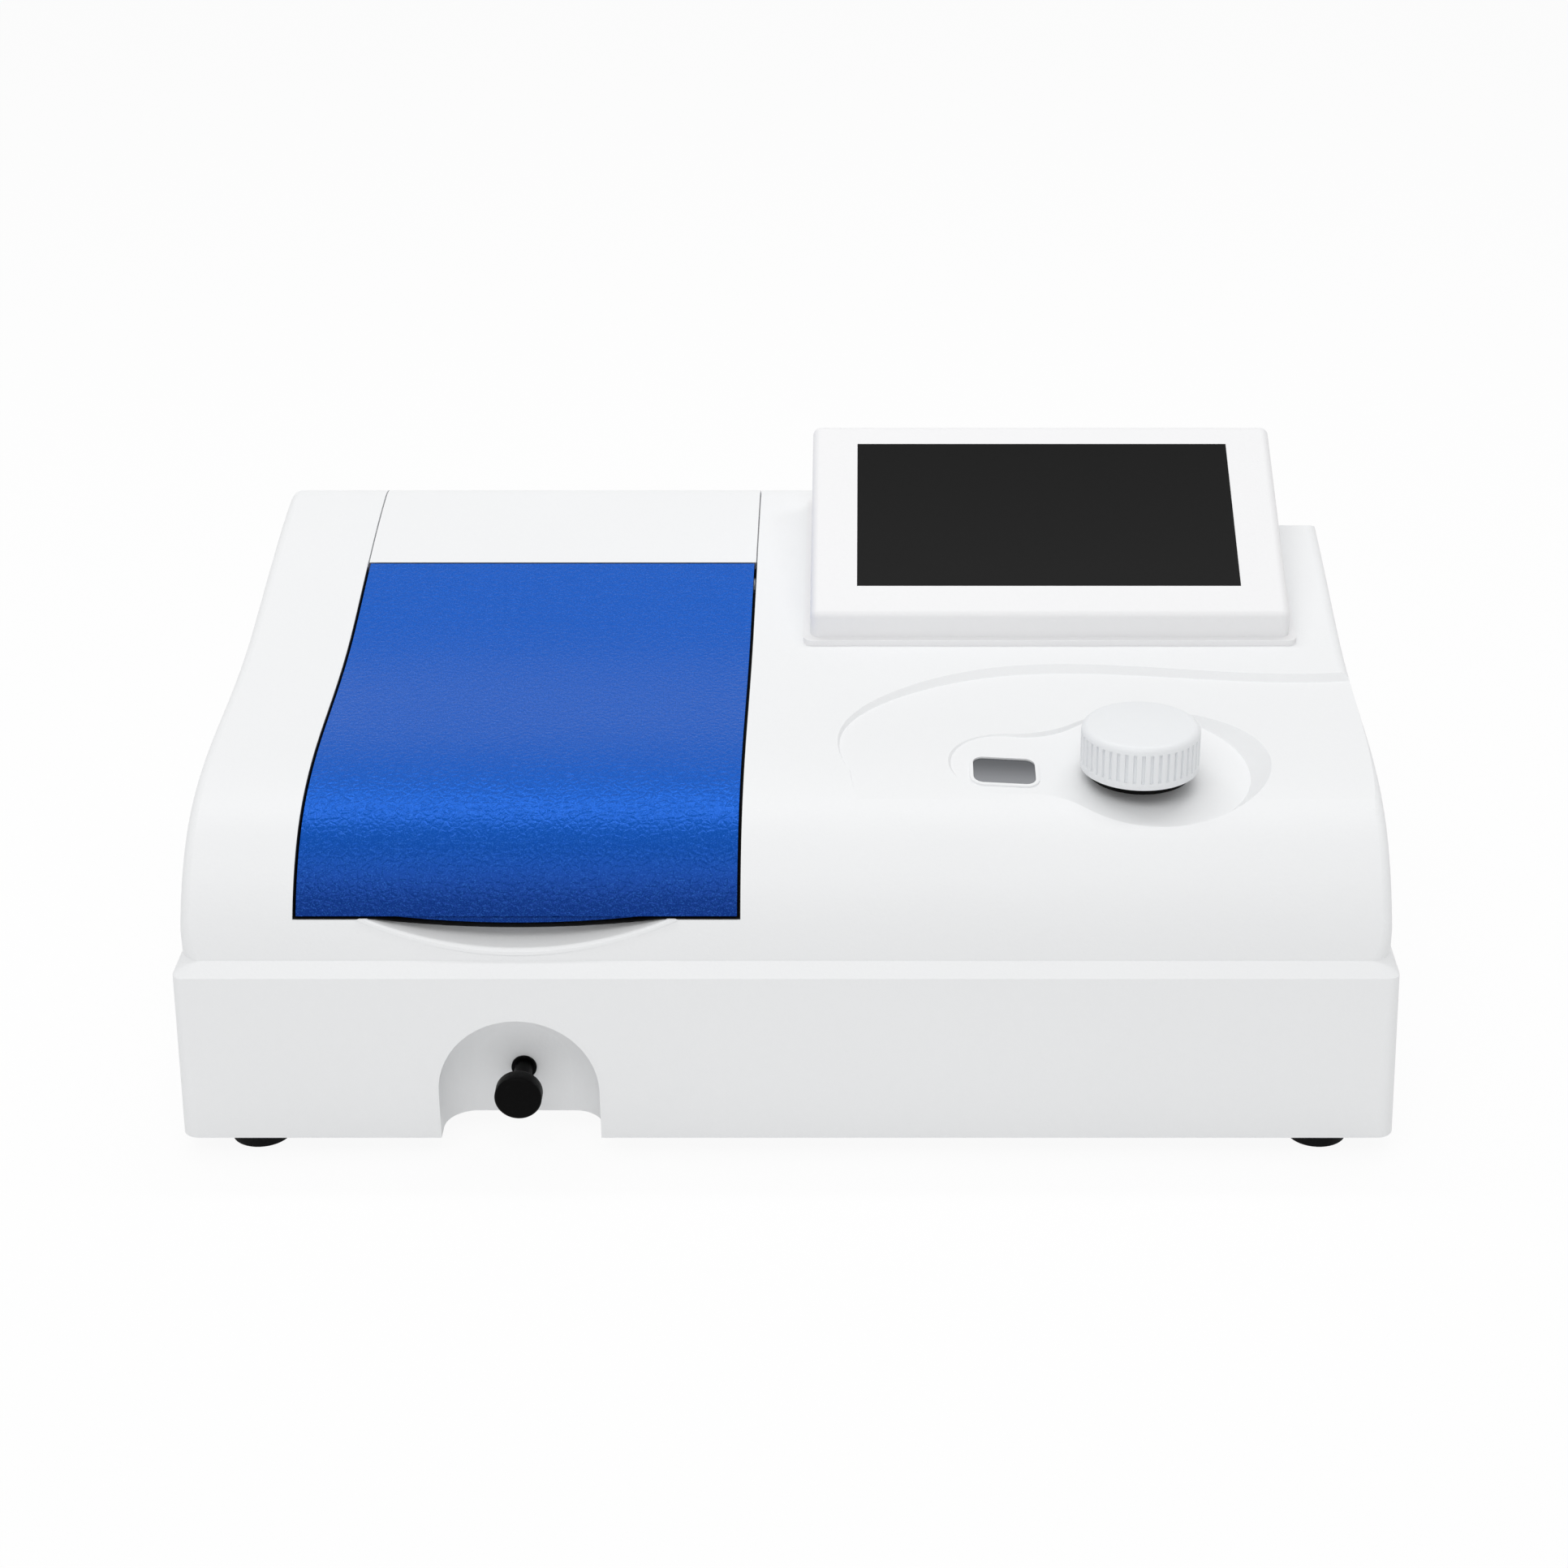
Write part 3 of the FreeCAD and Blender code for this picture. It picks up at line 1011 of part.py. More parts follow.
def lamp_housing():
    """Return the finned lamp box behind the monochromator."""
    outer = box(ENTRANCE_X - 28, ENTRANCE_X + 28, MONO_REAR + 6, MONO_REAR + 62, BENCH_TOP, BENCH_TOP + 62)
    inner = box(ENTRANCE_X - 25, ENTRANCE_X + 25, MONO_REAR + 9, MONO_REAR + 59, BENCH_TOP + 3, BENCH_TOP + 59)
    nose = bar((ENTRANCE_X, MONO_REAR, BEAM_Z), (ENTRANCE_X, MONO_REAR + 8, BEAM_Z), BEAM_HOLE + 3)
    through = bar((ENTRANCE_X, MONO_REAR - 1, BEAM_Z), (ENTRANCE_X, MONO_REAR + 12, BEAM_Z), BEAM_HOLE)
    fins = [box(ENTRANCE_X - 34, ENTRANCE_X + 34, MONO_REAR + 14 + 10 * index, MONO_REAR + 16 + 10 * index,
                BENCH_TOP, BENCH_TOP + 55) for index in range(5)]
    vents = [box(ENTRANCE_X - 18 + 9 * index, ENTRANCE_X - 14 + 9 * index, MONO_REAR + 18, MONO_REAR + 52,
                 BENCH_TOP + 50, FAR) for index in range(5)]
    return cut(fuse([outer, nose] + fins), [inner, through] + vents)


def halogen_lamp():
    """Return the capsule lamp on its ceramic base."""
    y = MONO_REAR + 40
    base = upright(ENTRANCE_X, y, BENCH_TOP + 3, BEAM_Z - 9, 7)
    capsule = upright(ENTRANCE_X, y, BEAM_Z - 9, BEAM_Z + 6, 5)
    tip = Part.makeCone(5, 1.5, 6, V(ENTRANCE_X, y, BEAM_Z + 6))
    return fuse([base, capsule, tip])


def condenser_mirror():
    """Return the mirror behind the lamp."""
    y = MONO_REAR + 52
    disc = bar((ENTRANCE_X, y, BEAM_Z), (ENTRANCE_X, y + 5, BEAM_Z), 15)
    disc = disc.cut(Part.makeSphere(40, V(ENTRANCE_X, y - 37, BEAM_Z)))
    return fuse([disc, box(ENTRANCE_X - 6, ENTRANCE_X + 6, y + 1, y + 5, BENCH_TOP + 3, BEAM_Z)])


def detector_housing():
    """Return the light-tight box of the detector beside the compartment."""
    outer = rounded_box(-212, TUB_LEFT, BEAM_Y - 24, BEAM_Y + 24, BENCH_TOP, BENCH_TOP + 58, 4)
    inner = box(-209, TUB_LEFT - 6, BEAM_Y - 21, BEAM_Y + 21, BENCH_TOP + 3, BENCH_TOP + 55)
    return cut(outer, [inner, bar((TUB_LEFT - 8, BEAM_Y, BEAM_Z), (TUB_LEFT + 1, BEAM_Y, BEAM_Z), BEAM_HOLE)])


def photodiode_board():
    """Return the detector's circuit board with its photodiode can."""
    board = box(-199, -199 + BOARD_THICKNESS, BEAM_Y - 18, BEAM_Y + 18, BENCH_TOP + 3, BENCH_TOP + 48)
    can = bar((-199 + BOARD_THICKNESS, BEAM_Y, BEAM_Z), (-192, BEAM_Y, BEAM_Z), 7)
    return fuse([board, can])


def main_board():
    """Return the main circuit board on spacers, with its larger components."""
    z0 = BENCH_TOP + 8
    y0 = BASE_DEPTH - 84
    board = box(-166, -40, y0, y0 + 68, z0, z0 + BOARD_THICKNESS)
    posts = [box(x - 3, x + 3, y - 3, y + 3, BENCH_TOP, z0) for x in (-160, -46) for y in (y0 + 6, y0 + 54)]
    chips = [box(-130, -108, y0 + 18, y0 + 40, z0, z0 + 4), box(-90, -74, y0 + 12, y0 + 38, z0, z0 + 5),
             box(-66, -52, y0 + 18, y0 + 30, z0, z0 + 12)]
    return fuse([board] + posts + chips)


def power_supply():
    """Return the enclosed power supply with its slotted cage."""
    left = INLET_X - 88
    rear = BASE_DEPTH - 26
    cage = box(left, left + 122, rear - 62, rear, BENCH_TOP, BENCH_TOP + 42)
    slots = [box(left + 14 + 16 * index, left + 20 + 16 * index, rear - 50, rear - 10, BENCH_TOP + 39, FAR)
             for index in range(6)]
    return cut(cage, slots)


def fan_frame():
    """Return the square fan frame behind the grille."""
    y1 = BASE_DEPTH - WALL
    half = FAN_SIZE / 2
    frame = box(FAN_X - half, FAN_X + half, y1 - FAN_DEPTH, y1, FAN_Z - half, FAN_Z + half)
    edges = [edge for edge in frame.Edges if edge.BoundBox.YLength > 1]
    frame = frame.makeFillet(4, edges)
    duct = bar((FAN_X, y1 - FAN_DEPTH - 1, FAN_Z), (FAN_X, y1 + 1, FAN_Z), FAN_BORE)
    motor = bar((FAN_X, y1 - FAN_DEPTH, FAN_Z), (FAN_X, y1 - FAN_DEPTH + 4, FAN_Z), ROTOR_HUB)
    spokes = [turned(box(FAN_X, FAN_X + FAN_BORE + 1, y1 - FAN_DEPTH, y1 - FAN_DEPTH + 3, FAN_Z - 2, FAN_Z + 2),
                     120 * index + 30, (FAN_X, 0, FAN_Z), (0, 1, 0)) for index in range(3)]
    pin = bar((FAN_X, y1 - FAN_DEPTH + 3, FAN_Z), (FAN_X, y1 - 4, FAN_Z), 1.5)
    return fuse([frame.cut(duct), motor, pin] + spokes)


def fan_rotor():
    """Return the fan's hub and blades."""
    y1 = BASE_DEPTH - WALL
    y0 = y1 - FAN_DEPTH + 4 + AIR
    hub = bar((FAN_X, y0, FAN_Z), (FAN_X, y1 - 2, FAN_Z), ROTOR_HUB)
    blades = []
    for index in range(ROTOR_BLADES):
        blade = box(FAN_X + ROTOR_HUB - 2, FAN_X + ROTOR_RADIUS, y0 + 5, y0 + 6.2, FAN_Z - 7, FAN_Z + 7)
        blade = turned(blade, 32, (FAN_X, y0 + 5.6, FAN_Z), (1, 0, 0))
        blades.append(turned(blade, 360 / ROTOR_BLADES * index, (FAN_X, 0, FAN_Z), (0, 1, 0)))
    tip = bar((FAN_X, y0 - 1, FAN_Z), (FAN_X, y1 - 1, FAN_Z), ROTOR_RADIUS)
    rotor = fuse([hub] + blades).common(tip)
    return rotor.cut(bar((FAN_X, 0, FAN_Z), (FAN_X, y1 - 3.5, FAN_Z), 1.5 + RUNNING))


def mains_inlet():
    """Return the mains inlet with three flat pins."""
    y1 = BASE_DEPTH
    flange = rounded_plate(INLET_X, INLET_Z, 31, 36, y1, y1 + 2.4, 3)
    body = box(INLET_X - 13.8, INLET_X + 13.8, y1 - 24, y1 + 1, INLET_Z - 15.8, INLET_Z + 15.8)
    socket = rounded_plate(INLET_X, INLET_Z - 4, 24, 16.5, y1 - 16, y1 + 5, 3)
    drawer_hole = box(INLET_X - 12.2, INLET_X + 12.2, y1 - 18, y1 + 5, INLET_Z + 6.8, INLET_Z + 14)
    pins = [box(INLET_X + dx - 1, INLET_X + dx + 1, y1 - 17, y1 - 2, INLET_Z - 4 + dz - 2, INLET_Z - 4 + dz + 2)
            for dx, dz in ((-7, -1.5), (0, 2.5), (7, -1.5))]
    return fuse([fuse([flange, body]).cut([socket, drawer_hole])] + pins)


def rounded_plate(x, z, width, height, y0, y1, radius):
    """Return a plate in the rear panel's plane with rounded corners."""
    block = box(x - width / 2, x + width / 2, y0, y1, z - height / 2, z + height / 2)
    return block.makeFillet(radius, [edge for edge in block.Edges
                                     if edge.BoundBox.XLength < 0.01 and edge.BoundBox.ZLength < 0.01])


def fuse_drawer():
    """Return the fuse drawer above the socket."""
    y1 = BASE_DEPTH
    drawer = box(INLET_X - 12, INLET_X + 12, y1 - 17, y1 + REAR_STAND, INLET_Z + 7, INLET_Z + 13.8)
    lip = box(INLET_X - 3, INLET_X + 3, y1 + 2, y1 + 4, INLET_Z + 12, INLET_Z + 14.4)
    fuse_hole = box(INLET_X - 10, INLET_X + 10, y1 - 14, y1 - 3, INLET_Z + 8.4, FAR)
    return drawer.cut([fuse_hole, lip])


def switch_body():
    """Return the frame of the mains switch."""
    y1 = BASE_DEPTH
    flange = rounded_plate(SWITCH_X, INLET_Z, 21.5, 29, y1, y1 + 1.8, 1.5)
    body = box(SWITCH_X - 9.2, SWITCH_X + 9.2, y1 - 20, y1 + 1, INLET_Z - 12.7, INLET_Z + 12.7)
    well = box(SWITCH_X - 7.5, SWITCH_X + 7.5, y1 - 9, y1 + 3, INLET_Z - 11.2, INLET_Z + 11.2)
    axle = bar((SWITCH_X - 9, y1 - 4, INLET_Z), (SWITCH_X + 9, y1 - 4, INLET_Z), 1.2)
    return fuse([fuse([flange, body]).cut(well), axle])


def switch_rocker():
    """Return the rocker in its off position, tipped about its axle."""
    y1 = BASE_DEPTH
    axle = (SWITCH_X, y1 - 4, INLET_Z)
    paddle = side_prism([(y1 - 4.5, INLET_Z - 9.6), (y1 + 0.4, INLET_Z - 10.2), (y1 - 0.4, INLET_Z),
                         (y1 + 0.4, INLET_Z + 10.2), (y1 - 4.5, INLET_Z + 9.6)], SWITCH_X - 7.2, SWITCH_X + 7.2)
    hub = bar((SWITCH_X - 7.2, y1 - 4, INLET_Z), (SWITCH_X + 7.2, y1 - 4, INLET_Z), 3)
    rocker = fuse([paddle, hub]).cut(bar((SWITCH_X - 9, y1 - 4, INLET_Z), (SWITCH_X + 9, y1 - 4, INLET_Z),
                                         1.2 + RUNNING))
    return turned(rocker, -ROCKER_SWING, axle, (1, 0, 0))


def usb_port():
    """Return the square data socket."""
    y1 = BASE_DEPTH
    body = box(USB_X - 6, USB_X + 6, y1 - 16, y1 + 0.4, PORT_Z - 5.5, PORT_Z + 5.5)
    mouth = box(USB_X - 4.2, USB_X + 4.2, y1 - 9, y1 + 2, PORT_Z - 3.9, PORT_Z + 3.9)
    tongue = box(USB_X - 2.8, USB_X + 2.8, y1 - 10, y1 - 1, PORT_Z - 1.6, PORT_Z + 1.6)
    return fuse([body.cut(mouth), tongue])


def serial_port():
    """Return the nine-pin socket with its D-shaped shell."""
    y1 = BASE_DEPTH
    body = box(SERIAL_X - 9.3, SERIAL_X + 9.3, y1 - 14, y1 + 0.5, PORT_Z - 5.3, PORT_Z + 5.3)
    flange = box(SERIAL_X - 15, SERIAL_X + 15, y1, y1 + 0.8, PORT_Z - 6, PORT_Z + 6)
    outline = [(-8.3, 4), (8.3, 4), (7, -4), (-7, -4)]
    corners = [V(SERIAL_X + x, y1, PORT_Z + z) for x, z in outline]
    nose = Part.Face(Part.makePolygon(corners + corners[:1])).extrude(V(0, REAR_STAND, 0))
    return fuse([body, flange, nose])


NODES = {
    "base_shell": base_shell,
    "bottom_plate": bottom_plate,
    "rubber_feet": lambda: [foot(x, y) for x, y in foot_places()],
    "foot_screws": lambda: [foot_screw(x, y) for x, y in foot_places()],
    "optical_bench": optical_bench,
    "top_cover": top_cover,
    "rear_hood": rear_hood,
    "sample_tub": sample_tub,
    "carriage_rails": carriage_rails,
    "detent_spring": detent_spring,
    "rod_bush": rod_bush,
    "pull_rod": pull_rod,
    "rod_knob": rod_knob,
    "cell_carriage": cell_carriage,
    "sample_lid": sample_lid,
    "hinge_brackets": hinge_brackets,
    "lid_hinge_pins": hinge_pins,
    "lid_gasket": lid_gasket,
    "display_housing": display_housing,
    "touch_panel": touch_panel,
    "lcd_module": lcd_module,
    "display_board": display_board,
    "window_lens": window_lens,
    "wavelength_knob": wavelength_knob,
    "knob_collar": knob_collar,
    "knob_shaft": knob_shaft,
    "dial_gear": dial_gear,
    "wavelength_dial": wavelength_dial,
    "drive_cam": drive_cam,
    "grating_arm": grating_arm,
    "grating_table": grating_table,
    "grating": grating,
    "mono_housing": mono_housing,
    "mono_cover": mono_cover,
    "entrance_slit": lambda: slit(ENTRANCE_X, MONO_REAR - MONO_WALL, False),
    "exit_slit": lambda: slit(MONO_LEFT + MONO_WALL, BEAM_Y, True),
    "collimating_mirror": lambda: mirror(FOCUS_X, COLLIMATOR_Y, -6),
    "focusing_mirror": lambda: mirror(FOCUS_X, BEAM_Y, 11),
    "fold_mirror": fold_mirror,
    "lamp_housing": lamp_housing,
    "halogen_lamp": halogen_lamp,
    "condenser_mirror": condenser_mirror,
    "detector_housing": detector_housing,
    "photodiode_board": photodiode_board,
    "main_board": main_board,
    "power_supply": power_supply,
    "fan_frame": fan_frame,
    "fan_rotor": fan_rotor,
    "mains_inlet": mains_inlet,
    "fuse_drawer": fuse_drawer,
    "switch_body": switch_body,
    "switch_rocker": switch_rocker,
    "usb_port": usb_port,
    "serial_port": serial_port,
}


def main():
    """Build every sub-part and write one file for each."""
    os.makedirs("parts", exist_ok=True)
    for name, make in NODES.items():
        made = make()
        solids = made if isinstance(made, list) else made.Solids
        shape = Part.Compound(solids) if len(solids) > 1 else solids[0].copy()
        shape.translate(V(0, -Y_MIDDLE, 0))
        shape.exportStep(f"parts/{name}.step")
        print(name, len(solids), round(shape.Volume), shape.isValid())


main()
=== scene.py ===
"""Looks of the visible spectrophotometer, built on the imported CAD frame.

Lengths are metres in the frame's own axes: X right, Y back, Z up from the table.
"""
from __future__ import annotations

import logging
import math
from dataclasses import dataclass
from enum import Enum
from typing import Callable

import bpy
import bmesh
from mathutils import Matrix, Vector
from mathutils.bvhtree import BVHTree
from mathutils.interpolate import poly_3d_calc

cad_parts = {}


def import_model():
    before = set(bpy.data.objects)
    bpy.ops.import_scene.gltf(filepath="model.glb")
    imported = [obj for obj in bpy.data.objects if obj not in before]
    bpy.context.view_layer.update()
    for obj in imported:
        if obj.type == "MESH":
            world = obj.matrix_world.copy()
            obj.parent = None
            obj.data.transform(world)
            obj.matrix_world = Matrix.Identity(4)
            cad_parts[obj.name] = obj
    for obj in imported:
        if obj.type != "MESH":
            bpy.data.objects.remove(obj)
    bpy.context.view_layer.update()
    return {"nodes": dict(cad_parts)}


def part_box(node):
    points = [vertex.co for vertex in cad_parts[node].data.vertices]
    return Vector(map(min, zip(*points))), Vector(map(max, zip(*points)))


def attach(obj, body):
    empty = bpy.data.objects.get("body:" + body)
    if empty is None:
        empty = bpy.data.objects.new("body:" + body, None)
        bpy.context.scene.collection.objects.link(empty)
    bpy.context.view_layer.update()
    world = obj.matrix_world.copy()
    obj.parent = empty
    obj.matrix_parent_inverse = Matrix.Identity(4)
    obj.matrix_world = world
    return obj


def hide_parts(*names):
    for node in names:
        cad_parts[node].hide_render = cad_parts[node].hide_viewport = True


LOG = logging.getLogger("spectrophotometer")
MM = 0.001

Colour = tuple[float, float, float]


def srgb(red: float, green: float, blue: float) -> Colour:
    """Return the linear colour of three display values from 0 to 255."""
    def linear(value: float) -> float:
        """Return one channel's linear value."""
        share = value / 255
        return share / 12.92 if share <= 0.04045 else ((share + 0.055) / 1.055) ** 2.4

    return linear(red), linear(green), linear(blue)


class Wire:
    """One shader socket that can be used in sums."""

    def __init__(self, shader: "NodeTree", socket: bpy.types.NodeSocket) -> None:
        """Keep the socket and the tree that it belongs to."""
        self.shader = shader
        self.socket = socket

    def _join(self, operation: str, first: "Wire | float", second: "Wire | float") -> "Wire":
        """Add a Math node.

        Args:
            operation: the Math node's operation.
            first: the first value or socket.
            second: the second value or socket.

        Returns:
            The node's result.
        """
        return self.shader.node("ShaderNodeMath", {"operation": operation}, {0: first, 1: second})

    def __add__(self, other: "Wire | float") -> "Wire":
        """Return the sum."""
        return self._join("ADD", self, other)

    def __radd__(self, other: "Wire | float") -> "Wire":
        """Return the sum."""
        return self._join("ADD", other, self)

    def __sub__(self, other: "Wire | float") -> "Wire":
        """Return the difference."""
        return self._join("SUBTRACT", self, other)

    def __mul__(self, other: "Wire | float") -> "Wire":
        """Return the product."""
        return self._join("MULTIPLY", self, other)

    def __gt__(self, other: "Wire | float") -> "Wire":
        """Return 1 where this is the larger."""
        return self._join("GREATER_THAN", self, other)


class NodeTree:
    """A node tree under construction."""

    def __init__(self, tree: bpy.types.NodeTree) -> None:
        """Start with an empty tree."""
        self.tree = tree
        self.tree.nodes.clear()

    def node(self, kind: str, settings: dict | None = None, values: dict | None = None,
             output: int | str = 0) -> Wire:
        """Add one node.

        Args:
            kind: the node's type.
            settings: its own settings; "stops" holds a ramp's places and colours.
            values: a value or a wire for each input.
            output: which output to return.

        Returns:
            The chosen output.
        """
        made = self.tree.nodes.new(kind)
        for key, value in (settings or {}).items():
            if key == "stops":
                while len(made.color_ramp.elements) < len(value):
                    made.color_ramp.elements.new(0.5)
                for element, (place, colour) in zip(made.color_ramp.elements, value):
                    element.position = place
                    element.color = (*colour, 1.0)
            else:
                setattr(made, key, value)
        for key, value in (values or {}).items():
            self.feed(made.inputs[key], value)
        return Wire(self, made.outputs[output]) if made.outputs else None

    def feed(self, socket: bpy.types.NodeSocket, value: object) -> None:
        """Give an input a value or a link."""
        if isinstance(value, Wire):
            self.tree.links.new(value.socket, socket)
        elif isinstance(value, tuple) and len(value) == 3 and socket.type == "RGBA":
            socket.default_value = (*value, 1.0)
        else:
            socket.default_value = value

    def straight_ray(self) -> Wire:
        """Return 1 for camera, glossy and transmission rays, and 0 for diffuse ones."""
        path = self.node("ShaderNodeLightPath", output="Is Camera Ray")
        outputs = path.socket.node.outputs
        other = [Wire(self, outputs[name]) for name in ("Is Glossy Ray", "Is Transmission Ray")]
        return (path + other[0] + other[1]) > 0.5


class Shader(NodeTree):
    """One node material under construction."""

    def __init__(self, name: str) -> None:
        """Start a material with one surface shader."""
        self.material = bpy.data.materials.new(name)
        self.material.use_nodes = True
        super().__init__(self.material.node_tree)
        self.surface = self.tree.nodes.new("ShaderNodeBsdfPrincipled")
        self.output = self.tree.nodes.new("ShaderNodeOutputMaterial")
        self.tree.links.new(self.surface.outputs["BSDF"], self.output.inputs["Surface"])

    def set(self, **values: object) -> None:
        """Set inputs of the surface shader, with underscores for spaces."""
        for key, value in values.items():
            self.feed(self.surface.inputs[key.replace("_", " ")], value)

    def place(self) -> Wire:
        """Return the point on the object."""
        return self.node("ShaderNodeTexCoord", output="Object")

    def parts(self) -> tuple[Wire, Wire, Wire]:
        """Return the point's X, Y and Z."""
        split = self.node("ShaderNodeSeparateXYZ", values={0: self.place()})
        outputs = split.socket.node.outputs
        return Wire(self, outputs[0]), Wire(self, outputs[1]), Wire(self, outputs[2])

    def noise(self, scale: float, detail: float = 2.0, roughness: float = 0.5) -> Wire:
        """Return smooth noise on the object, from 0 to 1."""
        return self.node("ShaderNodeTexNoise", {}, {"Vector": self.place(), "Scale": scale,
                                                    "Detail": detail, "Roughness": roughness})

    def cells(self, scale: float, feature: str = "F1") -> Wire:
        """Return the distance to scattered cell centres."""
        return self.node("ShaderNodeTexVoronoi", {"feature": feature},
                         {"Vector": self.place(), "Scale": scale})

    def blend(self, factor: Wire | float, first: Wire | Colour, second: Wire | Colour) -> Wire:
        """Mix two colours."""
        made = self.tree.nodes.new("ShaderNodeMix")
        made.data_type = "RGBA"
        self.feed(made.inputs[0], factor)
        self.feed(made.inputs[6], first)
        self.feed(made.inputs[7], second)
        return Wire(self, made.outputs[2])

    def between(self, value: Wire, low: float, high: float, start: float = 0.0, end: float = 1.0) -> Wire:
        """Map a range of values onto another, smoothly and held at its ends."""
        return self.node("ShaderNodeMapRange", {"interpolation_type": "SMOOTHSTEP"},
                         {0: value, 1: low, 2: high, 3: start, 4: end})

    def bump(self, height: Wire, depth: float) -> None:
        """Feed the surface's normal from a height."""
        self.set(Normal=self.node("ShaderNodeBump", {}, {"Strength": 1.0, "Distance": depth,
                                                         "Height": height}))


@dataclass(frozen=True)
class Plastic:
    """A moulded plastic with a fine mould texture."""

    name: str
    colour: Colour
    roughness: float = 0.42
    specular: float = 0.4
    grain: float = 900.0
    depth: float = 0.00006
    mottle: float = 0.02

    def build(self) -> bpy.types.Material:
        """Return the material."""
        shader = Shader(self.name)
        cloud = shader.noise(14.0, 2.0)
        fine = shader.noise(self.grain, 1.0)
        darker = tuple(channel * (1 - self.mottle) for channel in self.colour)
        shader.set(Base_Color=shader.blend(cloud, darker, self.colour), Specular_IOR_Level=self.specular,
                   Roughness=self.roughness + (fine - 0.5) * 0.16 + (cloud - 0.5) * 0.06)
        shader.bump(fine, self.depth)
        return shader.material


@dataclass(frozen=True)
class LeatherGrain:
    """A moulded plastic with a pebbled leather grain, with a painted highlight that makes the grain's crests
    a little lighter and painted shade that makes it darker towards the bottom.
    """

    name: str
    colour: Colour
    # Painted highlight: the lighter blue of the grain's crests.
    crest: Colour
    # Painted shade: the darker blue towards the bottom, which fades out between the two heights further down.
    deep: Colour
    metal_share: float = 0.28
    roughness: float = 0.27
    specular: float = 0.1
    pebble: float = 560.0
    depth: float = 0.00014
    deep_height: float = 0.098
    full_height: float = 0.136

    def build(self) -> bpy.types.Material:
        """Return the material."""
        shader = Shader(self.name)
        pebbles = shader.cells(self.pebble)
        creases = shader.cells(self.pebble * 0.6, "DISTANCE_TO_EDGE")
        fine = shader.noise(1900.0, 2.0)
        cloud = shader.noise(22.0, 2.0)
        height = fine * 0.5 + shader.between(creases, 0.0, 0.25) * 0.6 - pebbles * 0.6
        _, _, level = shader.parts()
        # Painted shade: the blue darkens towards the bottom of the lid, between two heights.
        body = shader.blend(shader.between(level, self.deep_height, self.full_height), self.deep, self.colour)
        # Painted highlight: the grain's crests are mixed a little towards the lighter blue.
        shader.set(Base_Color=shader.blend(shader.between(fine, 0.5, 0.75) * 0.3, body, self.crest),
                   Specular_IOR_Level=self.specular, Metallic=self.metal_share,
                   Roughness=self.roughness + (cloud - 0.5) * 0.06 + (fine - 0.5) * 0.2)
        shader.bump(height, self.depth)
        return shader.material


@dataclass(frozen=True)
class SmokedLens:
    """A dark moulded lens, with a painted reflection that pales it towards its front edge and painted shadow
    of the rim towards its back.
    """

    name: str
    dark: Colour
    pale: Colour
    start: float
    end: float

    def build(self) -> bpy.types.Material:
        """Return the material."""
        shader = Shader(self.name)
        _, along, _ = shader.parts()
        smear = shader.noise(40.0, 3.0)
        # Painted reflection at the front and painted shadow of the rim at the back: colour and opacity follow
        # the depth into the instrument.
        painted_shadow_share = shader.between(along, self.start, self.end)
        shader.set(Base_Color=shader.blend(painted_shadow_share, self.pale, self.dark), Specular_IOR_Level=0.3,
                   Roughness=0.14 + (smear - 0.5) * 0.06, Alpha=0.9 + painted_shadow_share * 0.08)
        return shader.material


@dataclass(frozen=True)
class Metal:
    """A metal with cloudy variation and machining or casting texture."""

    name: str
    colour: Colour
    roughness: float = 0.35
    grain: float = 300.0
    depth: float = 0.00004
    stretch: tuple[float, float, float] = (1.0, 1.0, 1.0)

    def build(self) -> bpy.types.Material:
        """Return the material."""
        shader = Shader(self.name)
        along = shader.node("ShaderNodeMapping", {}, {"Vector": shader.place(), "Scale": self.stretch})
        streak = shader.node("ShaderNodeTexNoise", {}, {"Vector": along, "Scale": self.grain, "Detail": 3.0})
        cloud = shader.noise(30.0, 2.0)
        darker = tuple(channel * 0.82 for channel in self.colour)
        shader.set(Base_Color=shader.blend(cloud, darker, self.colour), Metallic=1.0,
                   Roughness=self.roughness + (streak - 0.5) * 0.25)
        shader.bump(streak, self.depth)
        return shader.material


@dataclass(frozen=True)
class Glass:
    """A clear or dark glass with a faint smear."""

    name: str
    colour: Colour
    roughness: float = 0.08
    specular: float = 0.5

    def build(self) -> bpy.types.Material:
        """Return the material."""
        shader = Shader(self.name)
        smear = shader.noise(40.0, 3.0)
        shader.set(Base_Color=self.colour, Specular_IOR_Level=self.specular,
                   Roughness=self.roughness + (smear - 0.5) * 0.05)
        return shader.material


@dataclass(frozen=True)
class SolderMask:
    """A circuit board's green lacquer over copper tracks."""

    name: str
    mask: Colour
    track: Colour

    def build(self) -> bpy.types.Material:
        """Return the material."""
        shader = Shader(self.name)
        lines = shader.cells(260.0, "DISTANCE_TO_EDGE")
        tracks = shader.between(lines, 0.02, 0.05, 1.0, 0.0)
        pads = shader.between(shader.cells(420.0), 0.12, 0.16, 1.0, 0.0)
        lacquered = shader.blend(tracks * 0.6, self.mask, self.track)
        shader.set(Base_Color=shader.blend(pads, lacquered, srgb(200, 195, 180)), Metallic=pads * 0.8,
                   Roughness=0.35 + pads * 0.1)
        shader.bump(tracks + pads, 0.00005)
        return shader.material


